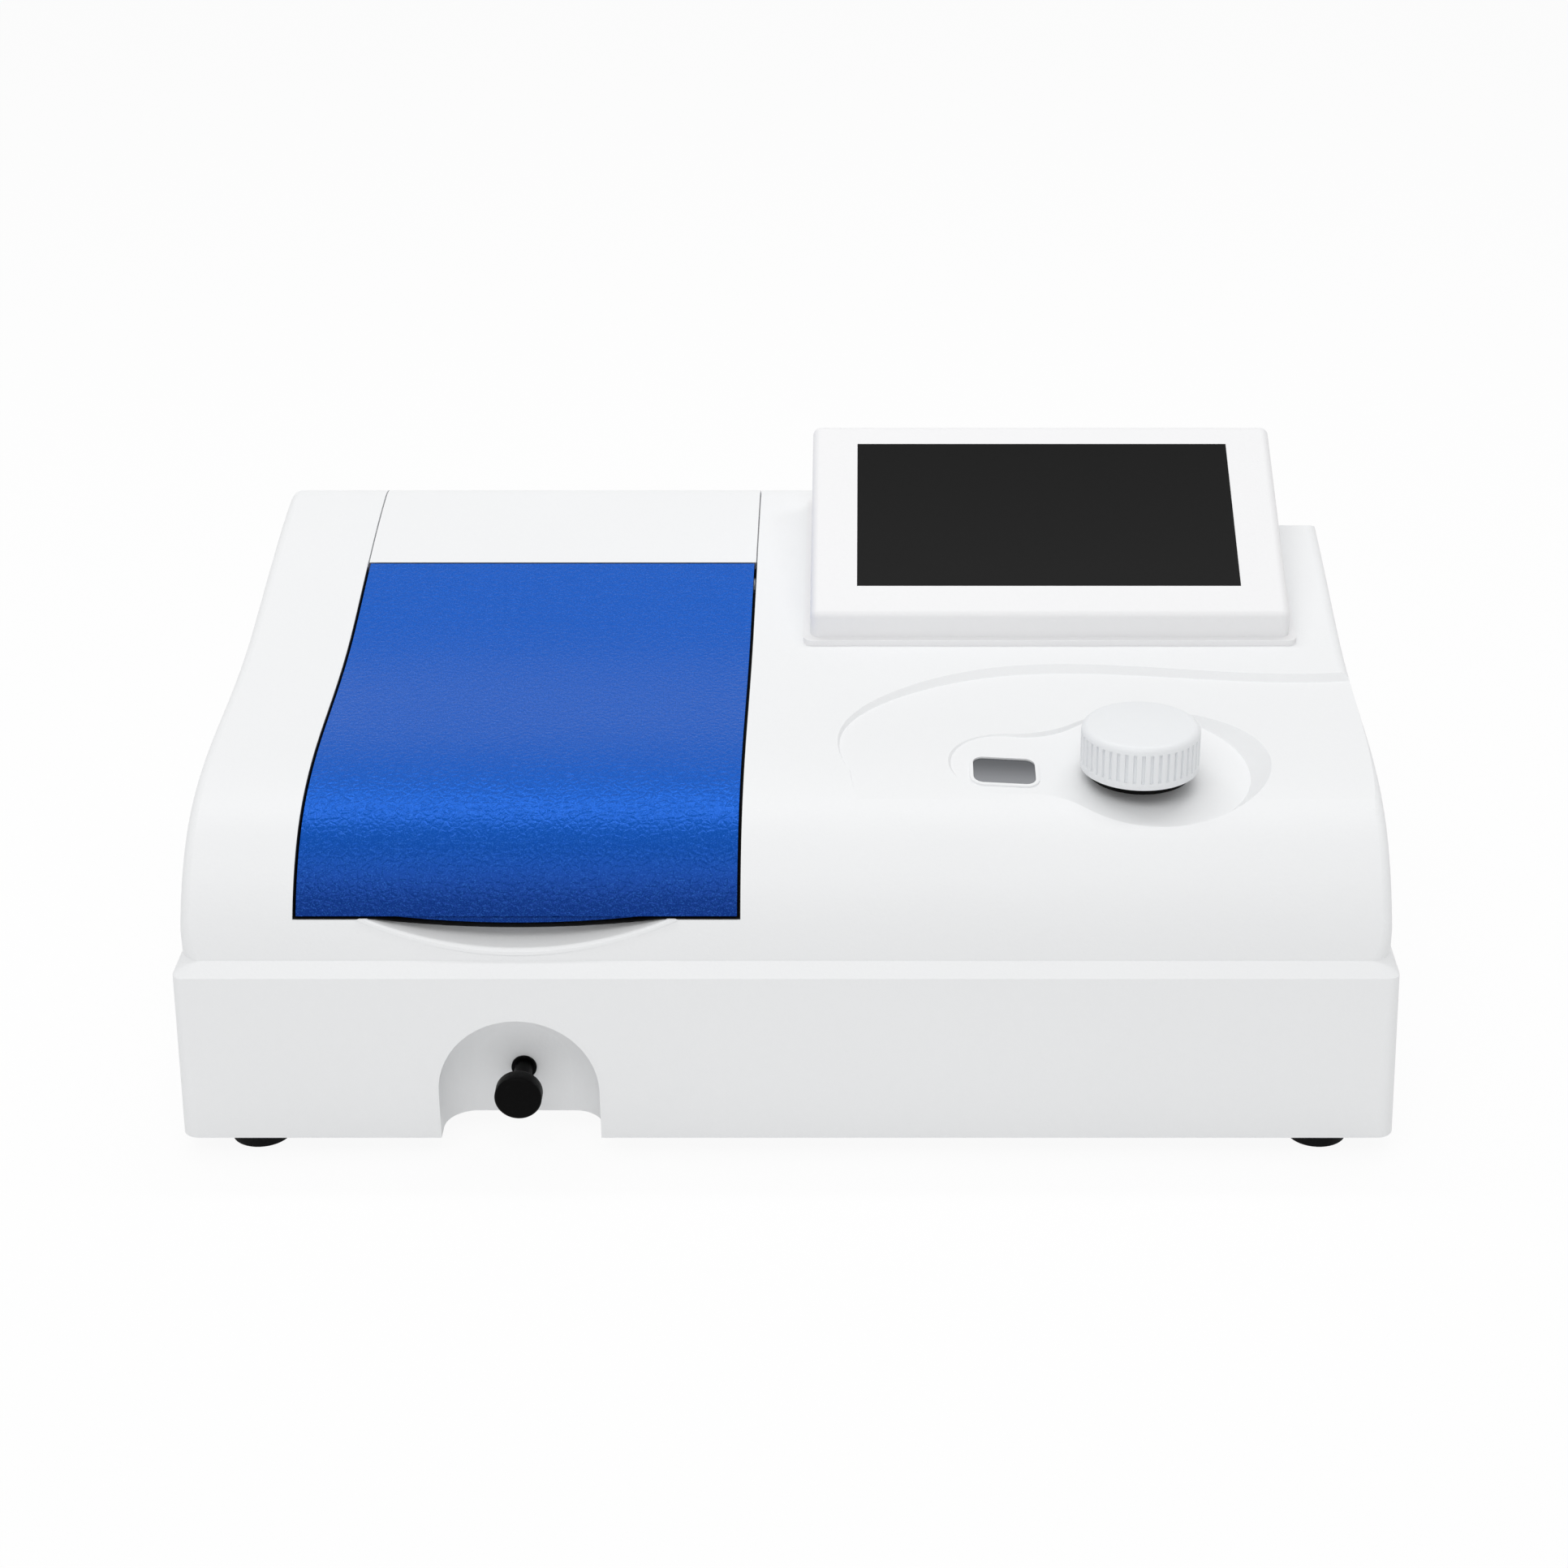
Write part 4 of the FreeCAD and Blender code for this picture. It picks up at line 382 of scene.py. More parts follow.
class Finish(Enum):
    """The finishes of this instrument."""

    HOUSING_WHITE = Plastic("housing_white", srgb(244, 245, 246), 0.45)
    DISPLAY_WHITE = Plastic("display_white", srgb(243, 243, 244), 0.4, grain=1100.0)
    KNOB_WHITE = Plastic("knob_white", srgb(240, 242, 244), 0.38, grain=1400.0)
    # The lid's last two colours are a painted highlight on the grain's crests and painted shade towards the
    # bottom.
    LID_BLUE = LeatherGrain("lid_blue", srgb(0, 86, 188), srgb(60, 128, 218), srgb(0, 48, 126))
    SCREEN_BLACK = Glass("screen_black", srgb(14, 14, 14), 0.3, specular=0.05)
    # The smoked lens's two colours are its smoke in painted shadow and a painted reflection.
    WINDOW_SMOKE = SmokedLens("window_smoke", srgb(84, 86, 90), srgb(150, 152, 156), -0.096, -0.078)
    BLACK_PLASTIC = Plastic("black_plastic", srgb(6, 6, 6), 0.42, 0.05)
    BLACK_RUBBER = Plastic("black_rubber", srgb(12, 12, 13), 0.75, 0.12, 500.0, 0.00012)
    TUB_BLACK = Plastic("tub_black", srgb(20, 20, 21), 0.6, 0.3, 700.0, 0.0001)
    ZINC_STEEL = Metal("zinc_steel", srgb(190, 190, 192), 0.32, 260.0)
    TURNED_STEEL = Metal("turned_steel", srgb(200, 201, 203), 0.22, 200.0, 0.00002, (1.0, 8.0, 1.0))
    CAST_ALUMINIUM = Metal("cast_aluminium", srgb(178, 180, 182), 0.5, 700.0, 0.00015)
    BLACK_ANODISED = Metal("black_anodised", srgb(38, 38, 40), 0.45, 500.0)
    BRASS = Metal("brass", srgb(212, 178, 96), 0.28, 320.0)
    MIRROR = Metal("mirror", srgb(235, 236, 238), 0.06, 60.0, 0.000002)
    DIAL_WHITE = Plastic("dial_white", srgb(236, 236, 228), 0.5)
    CIRCUIT = SolderMask("circuit", srgb(12, 92, 48), srgb(30, 130, 70))
    LAMP_GLASS = Glass("lamp_glass", srgb(235, 235, 230), 0.04)
    LCD_METAL = Metal("lcd_metal", srgb(165, 166, 168), 0.3, 150.0)


class Palette:
    """Builds each finish once and dresses nodes and pieces with it."""

    def __init__(self) -> None:
        """Start with no material made."""
        self.made: dict[Finish, bpy.types.Material] = {}

    def get(self, finish: Finish) -> bpy.types.Material:
        """Return the finish's material."""
        if finish not in self.made:
            self.made[finish] = finish.value.build()
        return self.made[finish]

    def dress(self, piece: bpy.types.Object, finish: Finish) -> None:
        """Give a whole piece one finish."""
        piece.data.materials.clear()
        piece.data.materials.append(self.get(finish))


@dataclass(frozen=True)
class Lamp:
    """One soft lamp: where it hangs, its width and height, and its power in watts."""

    name: str
    place: tuple[float, float, float]
    size: tuple[float, float]
    power: float

    def hang(self, target: Vector) -> None:
        """Add the lamp to the scene, facing the target."""
        data = bpy.data.lights.new(self.name, "AREA")
        data.shape = "RECTANGLE"
        data.size, data.size_y = self.size
        data.energy = self.power
        lamp = bpy.data.objects.new(self.name, data)
        lamp.location = self.place
        lamp.rotation_euler = (target - Vector(self.place)).to_track_quat("-Z", "Y").to_euler()
        bpy.context.scene.collection.objects.link(lamp)


@dataclass
class Studio:
    """The floor, the light and the camera."""

    camera_place: tuple[float, float, float] = (0.0314, -1.1325, 0.6344)
    camera_pitch: float = 64.0
    lens: float = 68.94
    shift: float = -0.0548
    floor_size: float = 14.0
    floor_glow: float = 0.92
    sky: float = 0.55
    lamp_target: tuple[float, float, float] = (0.0, 0.0, 0.08)
    lamps: tuple[Lamp, ...] = (
        Lamp("overhead", (0.0, 0.42, 1.6), (1.8, 0.16), 8.0),
        Lamp("front", (-0.3, -1.4, 2.2), (1.8, 1.0), 12.0),
        Lamp("fill", (-0.2, -2.4, 0.7), (1.6, 1.0), 3.6),
    )

    def build(self) -> None:
        """Make the whole studio."""
        self.make_camera()
        self.make_world()
        self.make_floor()
        for lamp in self.lamps:
            lamp.hang(Vector(self.lamp_target))
        LOG.info("studio ready")

    def make_camera(self) -> None:
        """Stand the camera at the photograph's viewpoint."""
        data = bpy.data.cameras.new("camera")
        data.lens = self.lens
        data.sensor_width = 36.0
        data.shift_x = self.shift
        data.clip_end = 50.0
        camera = bpy.data.objects.new("camera", data)
        camera.location = self.camera_place
        camera.rotation_euler = (math.radians(self.camera_pitch), 0.0, 0.0)
        bpy.context.scene.collection.objects.link(camera)
        bpy.context.scene.camera = camera

    def make_world(self) -> None:
        """Light the object evenly, with a white surround for the camera, gloss and glass."""
        world = bpy.data.worlds.new("surround")
        bpy.context.scene.world = world
        world.use_nodes = True
        tree = NodeTree(world.node_tree)
        strength = tree.straight_ray() * (1.0 - self.sky) + self.sky
        back = tree.node("ShaderNodeBackground", {}, {"Color": (1.0, 1.0, 1.0), "Strength": strength})
        tree.node("ShaderNodeOutputWorld", {}, {"Surface": back})
        bpy.context.scene.view_settings.view_transform = "Standard"

    def make_floor(self) -> None:
        """Lay the white floor, which keeps a faint shadow."""
        bpy.ops.mesh.primitive_plane_add(size=self.floor_size, location=(0.0, 0.0, 0.0))
        floor = bpy.context.active_object
        floor.name = "floor"
        shader = Shader("floor_white")
        shader.set(Base_Color=(0.96, 0.96, 0.96), Roughness=0.9, Specular_IOR_Level=0.0)
        glow = shader.node("ShaderNodeEmission", {}, {"Color": (1.0, 1.0, 1.0), "Strength": 1.0})
        share = shader.straight_ray() * self.floor_glow
        lit = Wire(shader, shader.surface.outputs["BSDF"])
        mixed = shader.node("ShaderNodeMixShader", {}, {0: share, 1: lit, 2: glow})
        shader.feed(shader.output.inputs["Surface"], mixed)
        floor.data.materials.append(shader.material)


@dataclass
class Workpiece:
    """One piece while it is shaped on the bench by edit-mode tools."""

    piece: bpy.types.Object

    @classmethod
    def cylinder(cls, name: str, low: Vector, high: Vector, axis: str, sides: int) -> "Workpiece":
        """Start from a round bar that fills a box.

        Args:
            name: the piece's name.
            low: the box's lowest corner.
            high: the box's highest corner.
            axis: the bar's direction, "Y" or "Z".
            sides: how many faces go round it.

        Returns:
            The new workpiece.
        """
        bpy.ops.object.select_all(action="DESELECT")
        size = high - low
        turn = (0.0, 0.0, 0.0) if axis == "Z" else (math.pi / 2, 0.0, 0.0)
        bpy.ops.mesh.primitive_cylinder_add(vertices=sides, radius=size.x / 2, location=(low + high) / 2,
                                            depth=size.z if axis == "Z" else size.y, rotation=turn)
        bpy.ops.object.transform_apply(location=True, rotation=True, scale=True)
        made = cls(bpy.context.active_object)
        made.piece.name = name
        made.piece.data.name = name
        bpy.ops.object.mode_set(mode="EDIT")
        return made

    def pick_faces(self, test: Callable[[Vector, Vector], bool]) -> None:
        """Select the faces whose middle and normal pass the test."""
        bpy.ops.mesh.select_all(action="DESELECT")
        bpy.ops.mesh.select_mode(type="FACE")
        mesh = bmesh.from_edit_mesh(self.piece.data)
        for face in mesh.faces:
            face.select_set(test(face.calc_center_median(), face.normal))
        bmesh.update_edit_mesh(self.piece.data)

    def pick_edges(self, test: Callable[[Vector, Vector], bool]) -> None:
        """Select the edges whose two ends pass the test."""
        bpy.ops.mesh.select_all(action="DESELECT")
        bpy.ops.mesh.select_mode(type="EDGE")
        mesh = bmesh.from_edit_mesh(self.piece.data)
        for edge in mesh.edges:
            edge.select_set(test(edge.verts[0].co, edge.verts[1].co))
        bmesh.update_edit_mesh(self.piece.data)

    def slice_at(self, point: Vector, normal: tuple[float, float, float]) -> None:
        """Add a ring of edges where a plane meets the piece."""
        bpy.ops.mesh.select_all(action="SELECT")
        bpy.ops.mesh.bisect(plane_co=point, plane_no=normal)

    def round_over(self, width: float, segments: int) -> None:
        """Round the selected edges."""
        bpy.ops.mesh.bevel(offset=width, segments=segments, affect="EDGES")

    def bore(self, width: float, depth: tuple[float, float, float]) -> None:
        """Sink a hole in the selected flat face, with a rim of the given width."""
        bpy.ops.mesh.inset(thickness=width)
        bpy.ops.mesh.extrude_region_move(TRANSFORM_OT_translate={"value": depth})

    def finish(self, softening: float, angle: float) -> bpy.types.Object:
        """Leave edit mode, soften the sharp edges and shade the piece.

        Args:
            softening: the width of the softened edges.
            angle: the angle in degrees from which an edge counts as sharp.

        Returns:
            The finished piece.
        """
        bpy.ops.mesh.select_all(action="SELECT")
        bpy.ops.mesh.normals_make_consistent(inside=False)
        bpy.ops.object.mode_set(mode="OBJECT")
        modifier = self.piece.modifiers.new("soften", "BEVEL")
        modifier.width = softening
        modifier.segments = 2
        modifier.limit_method = "ANGLE"
        modifier.angle_limit = math.radians(angle)
        bpy.ops.object.modifier_apply(modifier=modifier.name)
        bpy.ops.object.shade_smooth_by_angle(angle=math.radians(angle))
        return self.piece


@dataclass
class WavelengthKnob:
    """The ribbed knob with a plain band below and a soft top edge."""

    node: str = "wavelength_knob"
    ribs: int = 44
    rib_share: float = 0.6
    faces_per_rib: int = 5
    groove_depth: float = 1.2 * MM
    groove_slope: float = 0.14 * MM
    band: float = 2.6 * MM
    edge: float = 3.0 * MM
    shaft_radius: float = 4.0 * MM
    shaft_depth: float = 12.0 * MM

    def build(self, palette: Palette) -> bpy.types.Object:
        """Model the knob, dress it and put it on the knob's body.

        Args:
            palette: the finishes.

        Returns:
            The finished knob.
        """
        low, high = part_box(self.node)
        centre = (low + high) / 2
        radius = (high.x - low.x) / 2
        work = Workpiece.cylinder("knob_ribbed", low, high, "Z", self.ribs * self.faces_per_rib)
        work.slice_at(Vector((centre.x, centre.y, low.z + self.band)), (0.0, 0.0, 1.0))
        work.pick_edges(lambda one, two: min(one.z, two.z) > high.z - 0.1 * MM)
        work.round_over(self.edge, 6)
        work.pick_faces(lambda middle, normal: self.in_groove(middle - centre, normal))
        bpy.ops.mesh.inset(thickness=self.groove_slope, depth=-self.groove_depth)
        work.pick_faces(lambda middle, normal: middle.z < low.z + 0.1 * MM)
        work.bore(radius - self.shaft_radius, (0.0, 0.0, self.shaft_depth))
        piece = work.finish(0.12 * MM, 38.0)
        palette.dress(piece, Finish.KNOB_WHITE)
        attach(piece, "knob")
        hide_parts(self.node)
        LOG.info("%s: %d faces", piece.name, len(piece.data.polygons))
        return piece

    def in_groove(self, middle: Vector, normal: Vector) -> bool:
        """Return whether a face of the straight side lies between two ribs."""
        if abs(normal.z) > 0.1 or middle.z < -0.3 * self.height():
            return False
        turn = math.atan2(middle.y, middle.x) / math.tau * self.ribs % 1.0
        return turn > self.rib_share

    def height(self) -> float:
        """Return the knob's height."""
        low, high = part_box(self.node)
        return high.z - low.z


@dataclass
class ScoopedCover:
    """The upper casing with the finger hollow under the lid's front edge, and the hollow's lining."""

    node: str = "top_cover"
    front_line: float = -156.1 * MM
    middle: float = -100.7 * MM
    radius: float = 207.0 * MM
    pitch: float = 22.0
    low_point: float = 82.9 * MM
    half_width: float = 62.0 * MM
    depth: float = 20.0 * MM
    top: float = 96.2 * MM
    lining: float = 2.4 * MM
    rim: float = 0.8 * MM
    fit: float = 0.01 * MM
    overshoot: float = 6.0 * MM
    lean: tuple[float, float] = (1.9 * MM, 11.0 * MM)
    axis_depth: float = 8.0 * MM
    drum_sides: int = 640
    drum_length: float = 80.0 * MM
    merge_distance: float = 0.001 * MM
    smooth_angle: float = 28.0
    inward_share: float = 0.05
    least_match: float = 0.7

    def build(self, palette: Palette) -> None:
        """Cut the hollow from a copy of the casing and line it.

        Args:
            palette: the finishes.
        """
        low = self.low_point - self.overshoot
        cutter = self.block("scoop_cutter", -self.overshoot, self.depth + self.lining, low, self.top)
        self.combine(cutter, self.drum(self.radius + self.rim), "INTERSECT")
        cover = self.copied_casing("casing_scooped")
        self.combine(cover, cutter, "DIFFERENCE")
        lining = self.block("scoop_lining", self.lean[0], self.depth + self.lining, low, self.top)
        self.slant_front(lining, low)
        self.combine(lining, self.drum(self.radius + self.rim - self.fit), "INTERSECT")
        hollow = self.block("scoop_hollow", -self.overshoot, self.depth, low - 1.0 * MM, self.top + 1.0 * MM)
        self.combine(hollow, self.drum(self.radius), "INTERSECT")
        self.combine(lining, hollow, "DIFFERENCE")
        for piece in (cover, lining):
            bpy.ops.object.select_all(action="DESELECT")
            piece.select_set(True)
            bpy.context.view_layer.objects.active = piece
            if piece is cover:
                self.keep_shading(cover)
            else:
                bpy.ops.object.shade_smooth_by_angle(angle=math.radians(self.smooth_angle))
            palette.dress(piece, Finish.HOUSING_WHITE)
            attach(piece, "housing")
            LOG.info("%s: %d faces", piece.name, len(piece.data.polygons))
        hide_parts(self.node)

    def copied_casing(self, name: str) -> bpy.types.Object:
        """Return a merged copy of the casing's mesh."""
        source = bpy.data.objects[self.node]
        cover = bpy.data.objects.new(name, source.data.copy())
        bpy.context.scene.collection.objects.link(cover)
        bpy.ops.object.select_all(action="DESELECT")
        cover.select_set(True)
        bpy.context.view_layer.objects.active = cover
        bpy.ops.object.mode_set(mode="EDIT")
        bpy.ops.mesh.select_all(action="SELECT")
        bpy.ops.mesh.remove_doubles(threshold=self.merge_distance)
        bpy.ops.object.mode_set(mode="OBJECT")
        return cover

    def block(self, name: str, front: float, back: float, low: float, high: float) -> bpy.types.Object:
        """Make a block as wide as the hollow.

        Args:
            name: the block's name.
            front: how far its front stands behind the front line.
            back: how far its back stands behind the front line.
            low: the height of its bottom.
            high: the height of its top.

        Returns:
            The block.
        """
        bpy.ops.object.select_all(action="DESELECT")
        middle = (self.middle, self.front_line + (front + back) / 2, (low + high) / 2)
        bpy.ops.mesh.primitive_cube_add(size=1.0, location=middle,
                                        scale=(2 * self.half_width, back - front, high - low))
        bpy.ops.object.transform_apply(location=True, rotation=True, scale=True)
        made = bpy.context.active_object
        made.name = name
        return made

    def slant_front(self, lining: bpy.types.Object, low: float) -> None:
        """Lean the lining's front face back, so that it is flush with the casing.

        Args:
            lining: the block, whose front is upright.
            low: the height of the block's bottom.
        """
        front = self.front_line + self.lean[0] + 0.1 * MM
        bpy.ops.object.mode_set(mode="EDIT")
        work = Workpiece(lining)
        work.pick_edges(lambda one, two: min(one.z, two.z) > low + 1.0 * MM and max(one.y, two.y) < front)
        bpy.ops.transform.translate(value=(0.0, self.lean[1] - self.lean[0], 0.0))
        bpy.ops.object.mode_set(mode="OBJECT")

    def keep_shading(self, cover: bpy.types.Object) -> None:
        """Give each corner of the cut casing the normal that the whole one has there."""
        whole = bpy.data.objects[self.node].data
        tree = BVHTree.FromPolygons([point.co for point in whole.vertices],
                                    [face.vertices for face in whole.polygons])
        mesh = cover.data
        normals = [None] * len(mesh.loops)
        for face in mesh.polygons:
            for corner in face.loop_indices:
                place = mesh.vertices[mesh.loops[corner].vertex_index].co
                _, _, index, _ = tree.find_nearest(place.lerp(face.center, self.inward_share))
                normals[corner] = self.normal_on(whole, index, place, face.normal)
        mesh.normals_split_custom_set(normals)

    def normal_on(self, mesh: bpy.types.Mesh, index: int, place: Vector, own: Vector) -> Vector:
        """Return a face's smooth normal at a place.

        Args:
            mesh: the mesh with the face.
            index: which face it is.
            place: where the normal is wanted.
            own: the flat normal, returned where the two are further apart than least_match, a cosine.

        Returns:
            The normal.
        """
        face = mesh.polygons[index]
        shares = poly_3d_calc([mesh.vertices[number].co for number in face.vertices], place)
        smooth = Vector()
        for share, corner in zip(shares, face.loop_indices):
            smooth += mesh.corner_normals[corner].vector * share
        return smooth.normalized() if smooth.dot(own) > self.least_match else own.copy()

    def drum(self, radius: float) -> bpy.types.Object:
        """Return a round bar about the hollow's axis; at the hollow's own radius its side is the floor."""
        pitch = math.radians(self.pitch)
        start = Vector((self.middle, self.front_line + self.axis_depth,
                        self.low_point + self.axis_depth * math.tan(pitch)))
        bpy.ops.object.select_all(action="DESELECT")
        bpy.ops.mesh.primitive_cylinder_add(
            vertices=self.drum_sides, radius=radius, depth=self.drum_length,
            location=start + Vector((0.0, -math.sin(pitch), math.cos(pitch))) * self.radius,
            rotation=(pitch - math.pi / 2, 0.0, 0.0))
        bpy.ops.object.transform_apply(location=True, rotation=True, scale=True)
        return bpy.context.active_object

    def combine(self, piece: bpy.types.Object, tool: bpy.types.Object, operation: str) -> None:
        """Apply one Boolean step to a piece and remove the tool."""
        bpy.ops.object.select_all(action="DESELECT")
        bpy.context.view_layer.objects.active = piece
        modifier = piece.modifiers.new(operation.lower(), "BOOLEAN")
        modifier.object = tool
        modifier.operation = operation
        modifier.solver = "EXACT"
        bpy.ops.object.modifier_apply(modifier=modifier.name)
        bpy.data.objects.remove(tool)


@dataclass
class KnobCollar:
    """The dark collar that the knob turns on: a narrow stem under a wide dark flange, which is painted shade
    for the gap under the knob.
    """

    node: str = "knob_collar"
    # Painted shade: the flange's width and thickness make the dark crescent under the knob, where the gap is
    # in shade.
    flange_radius: float = 19.8 * MM
    flange_height: float = 2.5 * MM
    neck_radius: float = 10.0 * MM
    neck_height: float = 4.0 * MM
    stem_radius: float = 6.9 * MM
    bore_radius: float = 4.05 * MM

    def build(self, palette: Palette) -> bpy.types.Object:
        """Model the collar, dress it and put it on the housing.

        Args:
            palette: the finishes.

        Returns:
            The finished collar.
        """
        low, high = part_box(self.node)
        centre = (low + high) / 2
        # Painted shade: the wide dark flange fills the shaded gap under the knob.
        reach = Vector((self.flange_radius, self.flange_radius, 0.0))
        top = Vector((centre.x, centre.y, high.z))
        work = Workpiece.cylinder("collar_flange", top - reach - Vector((0.0, 0.0, self.flange_height)),
                                  top + reach, "Z", 96)
        level = high.z - self.flange_height
        work.pick_faces(lambda middle, normal: normal.z < -0.9 and middle.z < level + 0.1 * MM)
        work.bore(self.flange_radius - self.neck_radius, (0.0, 0.0, -self.neck_height))
        level -= self.neck_height
        work.pick_faces(lambda middle, normal: normal.z < -0.9 and middle.z < level + 0.1 * MM)
        work.bore(self.neck_radius - self.stem_radius, (0.0, 0.0, low.z - level))
        work.pick_faces(lambda middle, normal: normal.z > 0.9)
        work.bore(self.flange_radius - self.bore_radius, (0.0, 0.0, low.z - high.z))
        work.pick_faces(lambda middle, normal: middle.z < low.z + 0.1 * MM and normal.z < -0.9)
        bpy.ops.mesh.inset(thickness=self.stem_radius - self.bore_radius)
        work.pick_faces(lambda middle, normal: middle.z < low.z + 0.1 * MM and abs(normal.z) > 0.9
                        and (middle - centre).xy.length < 0.1 * MM)
        bpy.ops.mesh.delete(type="ONLY_FACE")
        bpy.ops.mesh.select_all(action="SELECT")
        bpy.ops.mesh.remove_doubles(threshold=0.02 * MM)
        piece = work.finish(0.35 * MM, 40.0)
        palette.dress(piece, Finish.BLACK_PLASTIC)
        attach(piece, "housing")
        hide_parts(self.node)
        LOG.info("%s: %d faces", piece.name, len(piece.data.polygons))
        return piece


@dataclass
class RodKnob:
    """The disc knob at the end of the pull rod."""

    node: str = "rod_knob"
    front_edge: float = 1.1 * MM
    back_edge: float = 0.7 * MM
    rod_radius: float = 3.5 * MM
    socket_depth: float = 3.5 * MM

    def build(self, palette: Palette) -> bpy.types.Object:
        """Model the disc, dress it and put it on the carriage's body.

        Args:
            palette: the finishes.

        Returns:
            The finished disc.
        """
        low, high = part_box(self.node)
        radius = (high.x - low.x) / 2
        work = Workpiece.cylinder("rod_disc", low, high, "Y", 96)
        work.pick_edges(lambda one, two: max(one.y, two.y) < low.y + 0.1 * MM)
        work.round_over(self.front_edge, 5)
        work.pick_edges(lambda one, two: min(one.y, two.y) > high.y - 0.1 * MM)
        work.round_over(self.back_edge, 3)
        work.pick_faces(lambda middle, normal: normal.y > 0.99)
        work.bore(radius - self.back_edge - self.rod_radius, (0.0, -self.socket_depth, 0.0))
        piece = work.finish(0.1 * MM, 50.0)
        palette.dress(piece, Finish.BLACK_PLASTIC)
        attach(piece, "carriage")
        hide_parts(self.node)
        LOG.info("%s: %d faces", piece.name, len(piece.data.polygons))
        return piece


@dataclass
class DialScale:
    """The raised ticks and numbers on the wavelength dial."""

    node: str = "wavelength_dial"
    first: int = 350
    last: int = 1000
    step: int = 10
    half_sweep: float = 146.25
    rim: float = 1.2 * MM
    short_tick: float = 2.2 * MM
    long_tick: float = 4.2 * MM
    tick_width: float = 0.35 * MM
    text_size: float = 4.4 * MM
    height: float = 0.12 * MM

    def build(self, palette: Palette) -> bpy.types.Object:
        """Make every mark, join them and put them on the dial's body.

        Args:
            palette: the finishes.

        Returns:
            The finished scale.
        """
        low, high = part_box(self.node)
        self.centre = Vector(((low.x + high.x) / 2, (low.y + high.y) / 2, high.z))
        self.radius = (high.x - low.x) / 2
        marks = []
        for value in range(self.first, self.last + 1, self.step):
            long = value % 50 == 0
            marks.append(self.tick(value, self.long_tick if long else self.short_tick))
            if long:
                marks.append(self.number(value))
        bpy.ops.object.select_all(action="DESELECT")
        for mark in marks:
            mark.select_set(True)
        bpy.context.view_layer.objects.active = marks[0]
        bpy.ops.object.join()
        piece = bpy.context.active_object
        piece.name = "dial_scale"
        palette.dress(piece, Finish.BLACK_PLASTIC)
        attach(piece, "dial")
        LOG.info("%s: %d faces", piece.name, len(piece.data.polygons))
        return piece

    def turn_of(self, value: int) -> float:
        """Return how far round the dial a value stands, from the front, in radians."""
        share = (value - self.first) / (self.last - self.first)
        return math.radians(self.half_sweep * (2.0 * share - 1.0))

    def settle(self, mark: bpy.types.Object, value: int) -> bpy.types.Object:
        """Move a mark drawn about the dial's centre to its place."""
        mark.data.transform(Matrix.Translation(self.centre) @ Matrix.Rotation(self.turn_of(value), 4, "Z"))
        return mark

    def tick(self, value: int, length: float) -> bpy.types.Object:
        """Return one tick whose outer end has soft corners."""
        bpy.ops.object.select_all(action="DESELECT")
        middle = -self.radius + self.rim + length / 2
        bpy.ops.mesh.primitive_cube_add(size=1.0, location=(0.0, middle, self.height / 2),
                                        scale=(self.tick_width, length, self.height))
        bpy.ops.object.transform_apply(location=True, rotation=True, scale=True)
        work = Workpiece(bpy.context.active_object)
        bpy.ops.object.mode_set(mode="EDIT")
        work.pick_edges(lambda one, two: abs(one.z - two.z) > self.height / 2)
        work.round_over(self.tick_width * 0.3, 1)
        bpy.ops.object.mode_set(mode="OBJECT")
        return self.settle(work.piece, value)

    def number(self, value: int) -> bpy.types.Object:
        """Return one number as a mesh."""
        bpy.ops.object.select_all(action="DESELECT")
        bpy.ops.object.text_add(location=(0.0, 0.0, 0.0))
        text = bpy.context.active_object
        text.data.body = str(value)
        text.data.align_x = "CENTER"
        text.data.size = self.text_size
        text.data.extrude = self.height / 2
        text.data.resolution_u = 3
        bpy.ops.object.convert(target="MESH")
        made = bpy.context.active_object
        down = -self.radius + self.rim + self.long_tick + 1.0 * MM
        made.data.transform(Matrix.Translation((0.0, down, self.height / 2)))
        return self.settle(made, value)


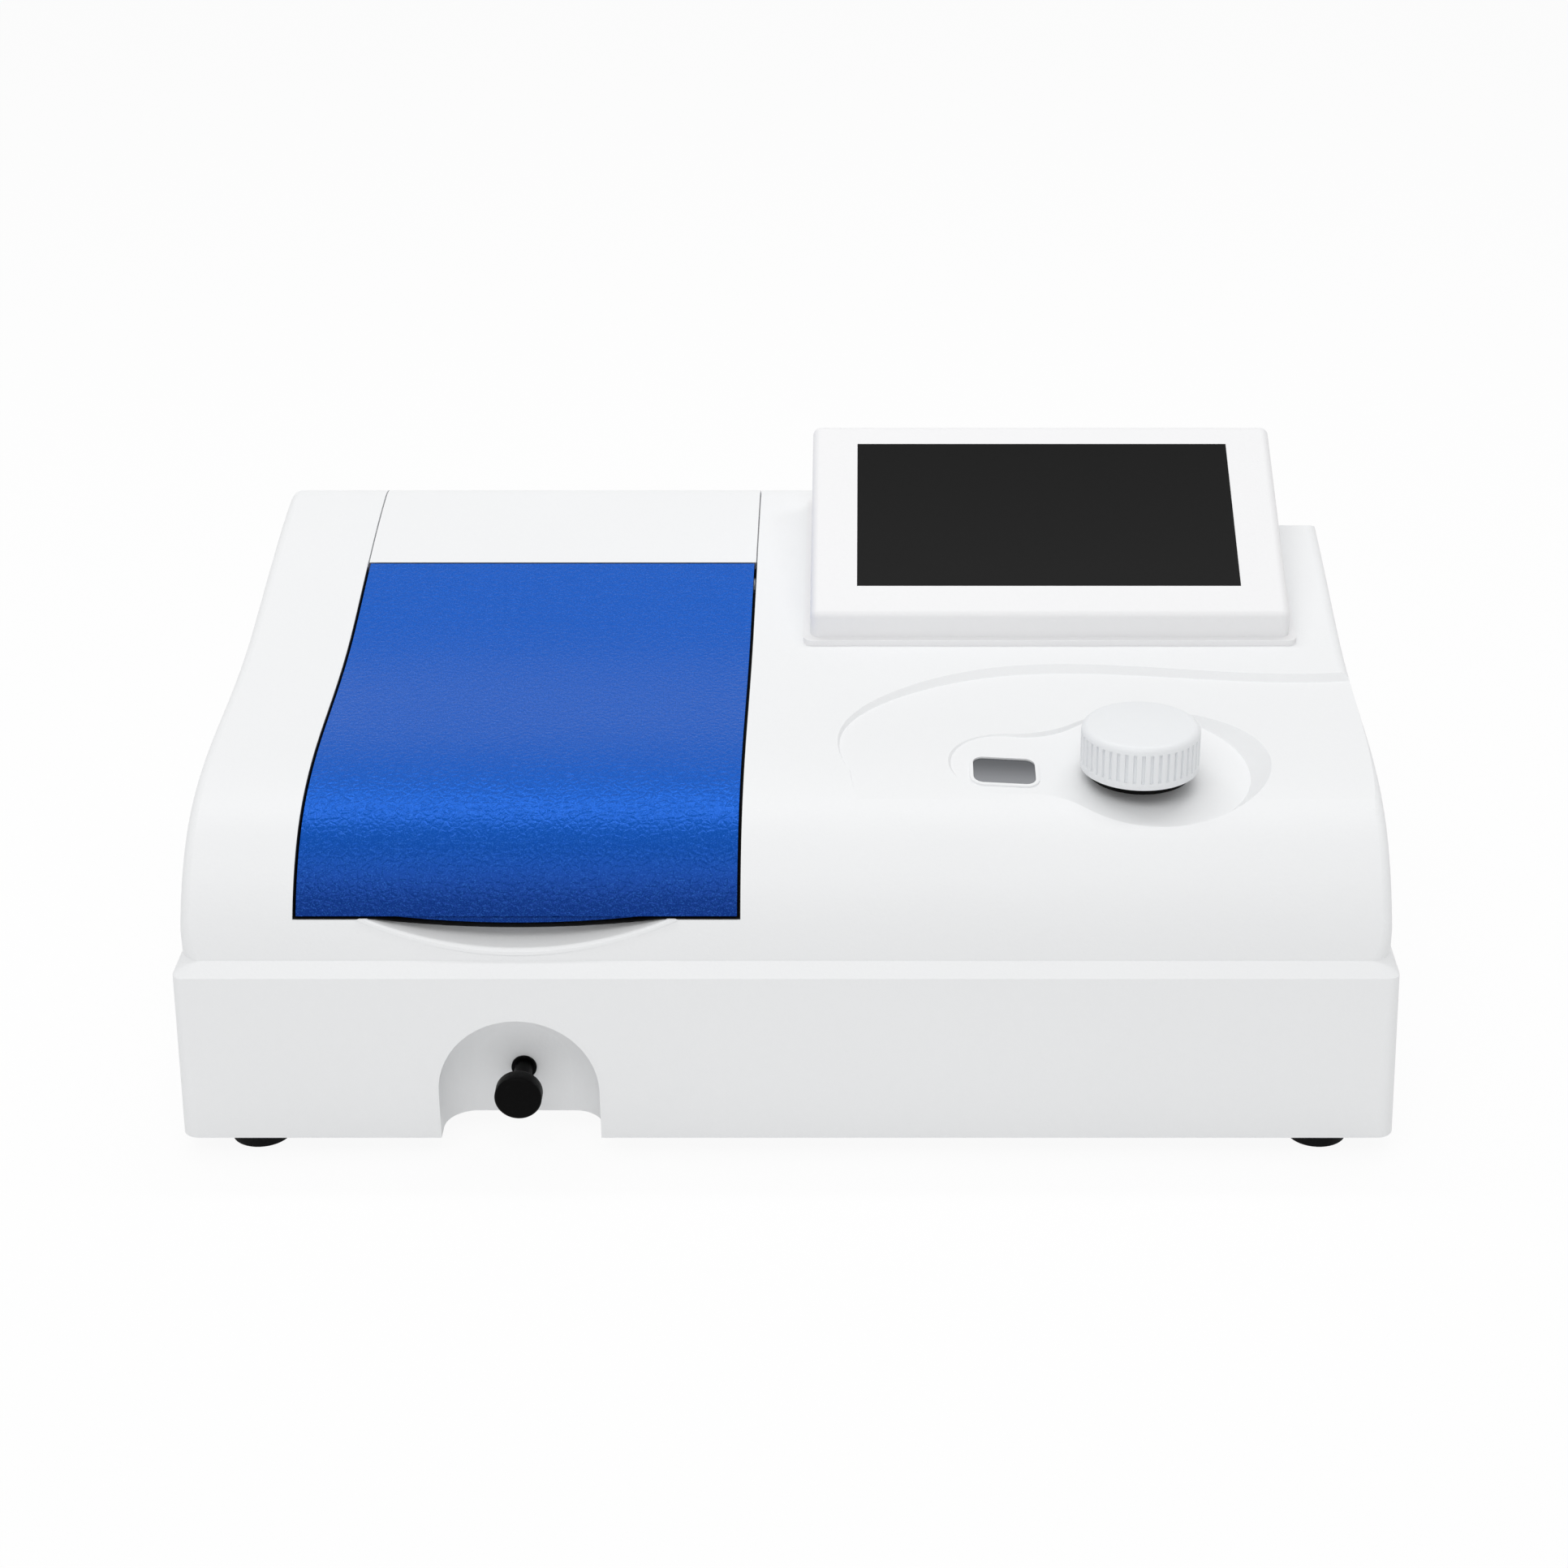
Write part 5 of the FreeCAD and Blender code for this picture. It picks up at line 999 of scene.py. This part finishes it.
DRESS: dict[Finish, tuple[str, ...]] = {
    Finish.HOUSING_WHITE: ("base_shell", "top_cover", "rear_hood"),
    Finish.DISPLAY_WHITE: ("display_housing",),
    Finish.KNOB_WHITE: ("wavelength_knob",),
    Finish.LID_BLUE: ("sample_lid",),
    Finish.SCREEN_BLACK: ("touch_panel",),
    Finish.WINDOW_SMOKE: ("window_lens",),
    Finish.BLACK_PLASTIC: ("knob_collar", "rod_knob", "rod_bush", "pull_rod", "mains_inlet", "fuse_drawer",
                           "switch_body", "switch_rocker", "fan_frame", "fan_rotor", "usb_port"),
    Finish.BLACK_RUBBER: ("rubber_feet", "lid_gasket"),
    Finish.TUB_BLACK: ("sample_tub",),
    Finish.ZINC_STEEL: ("bottom_plate", "foot_screws", "power_supply", "serial_port", "detent_spring"),
    Finish.TURNED_STEEL: ("knob_shaft", "lid_hinge_pins", "carriage_rails"),
    Finish.CAST_ALUMINIUM: ("optical_bench", "mono_housing", "mono_cover", "hinge_brackets"),
    Finish.BLACK_ANODISED: ("cell_carriage", "lamp_housing", "detector_housing", "entrance_slit", "exit_slit",
                            "grating_table", "grating_arm"),
    Finish.BRASS: ("dial_gear", "drive_cam"),
    Finish.MIRROR: ("grating", "collimating_mirror", "focusing_mirror", "fold_mirror", "condenser_mirror"),
    Finish.DIAL_WHITE: ("wavelength_dial",),
    Finish.CIRCUIT: ("display_board", "photodiode_board", "main_board"),
    Finish.LAMP_GLASS: ("halogen_lamp",),
    Finish.LCD_METAL: ("lcd_module",),
}


def dress_nodes(nodes: dict[str, bpy.types.Object], palette: Palette) -> None:
    """Give every carried-over CAD node its finish."""
    for finish, names in DRESS.items():
        for name in names:
            palette.dress(nodes[name], finish)
    LOG.info("%d nodes dressed", sum(len(names) for names in DRESS.values()))


def main() -> None:
    """Build the studio, dress the nodes and make the detailed pieces."""
    logging.basicConfig(level=logging.INFO, format="%(message)s")
    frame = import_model()
    Studio().build()
    palette = Palette()
    dress_nodes(frame["nodes"], palette)
    for group in (ScoopedCover(), WavelengthKnob(), KnobCollar(), RodKnob(), DialScale()):
        group.build(palette)


if __name__ == "__main__":
    main()
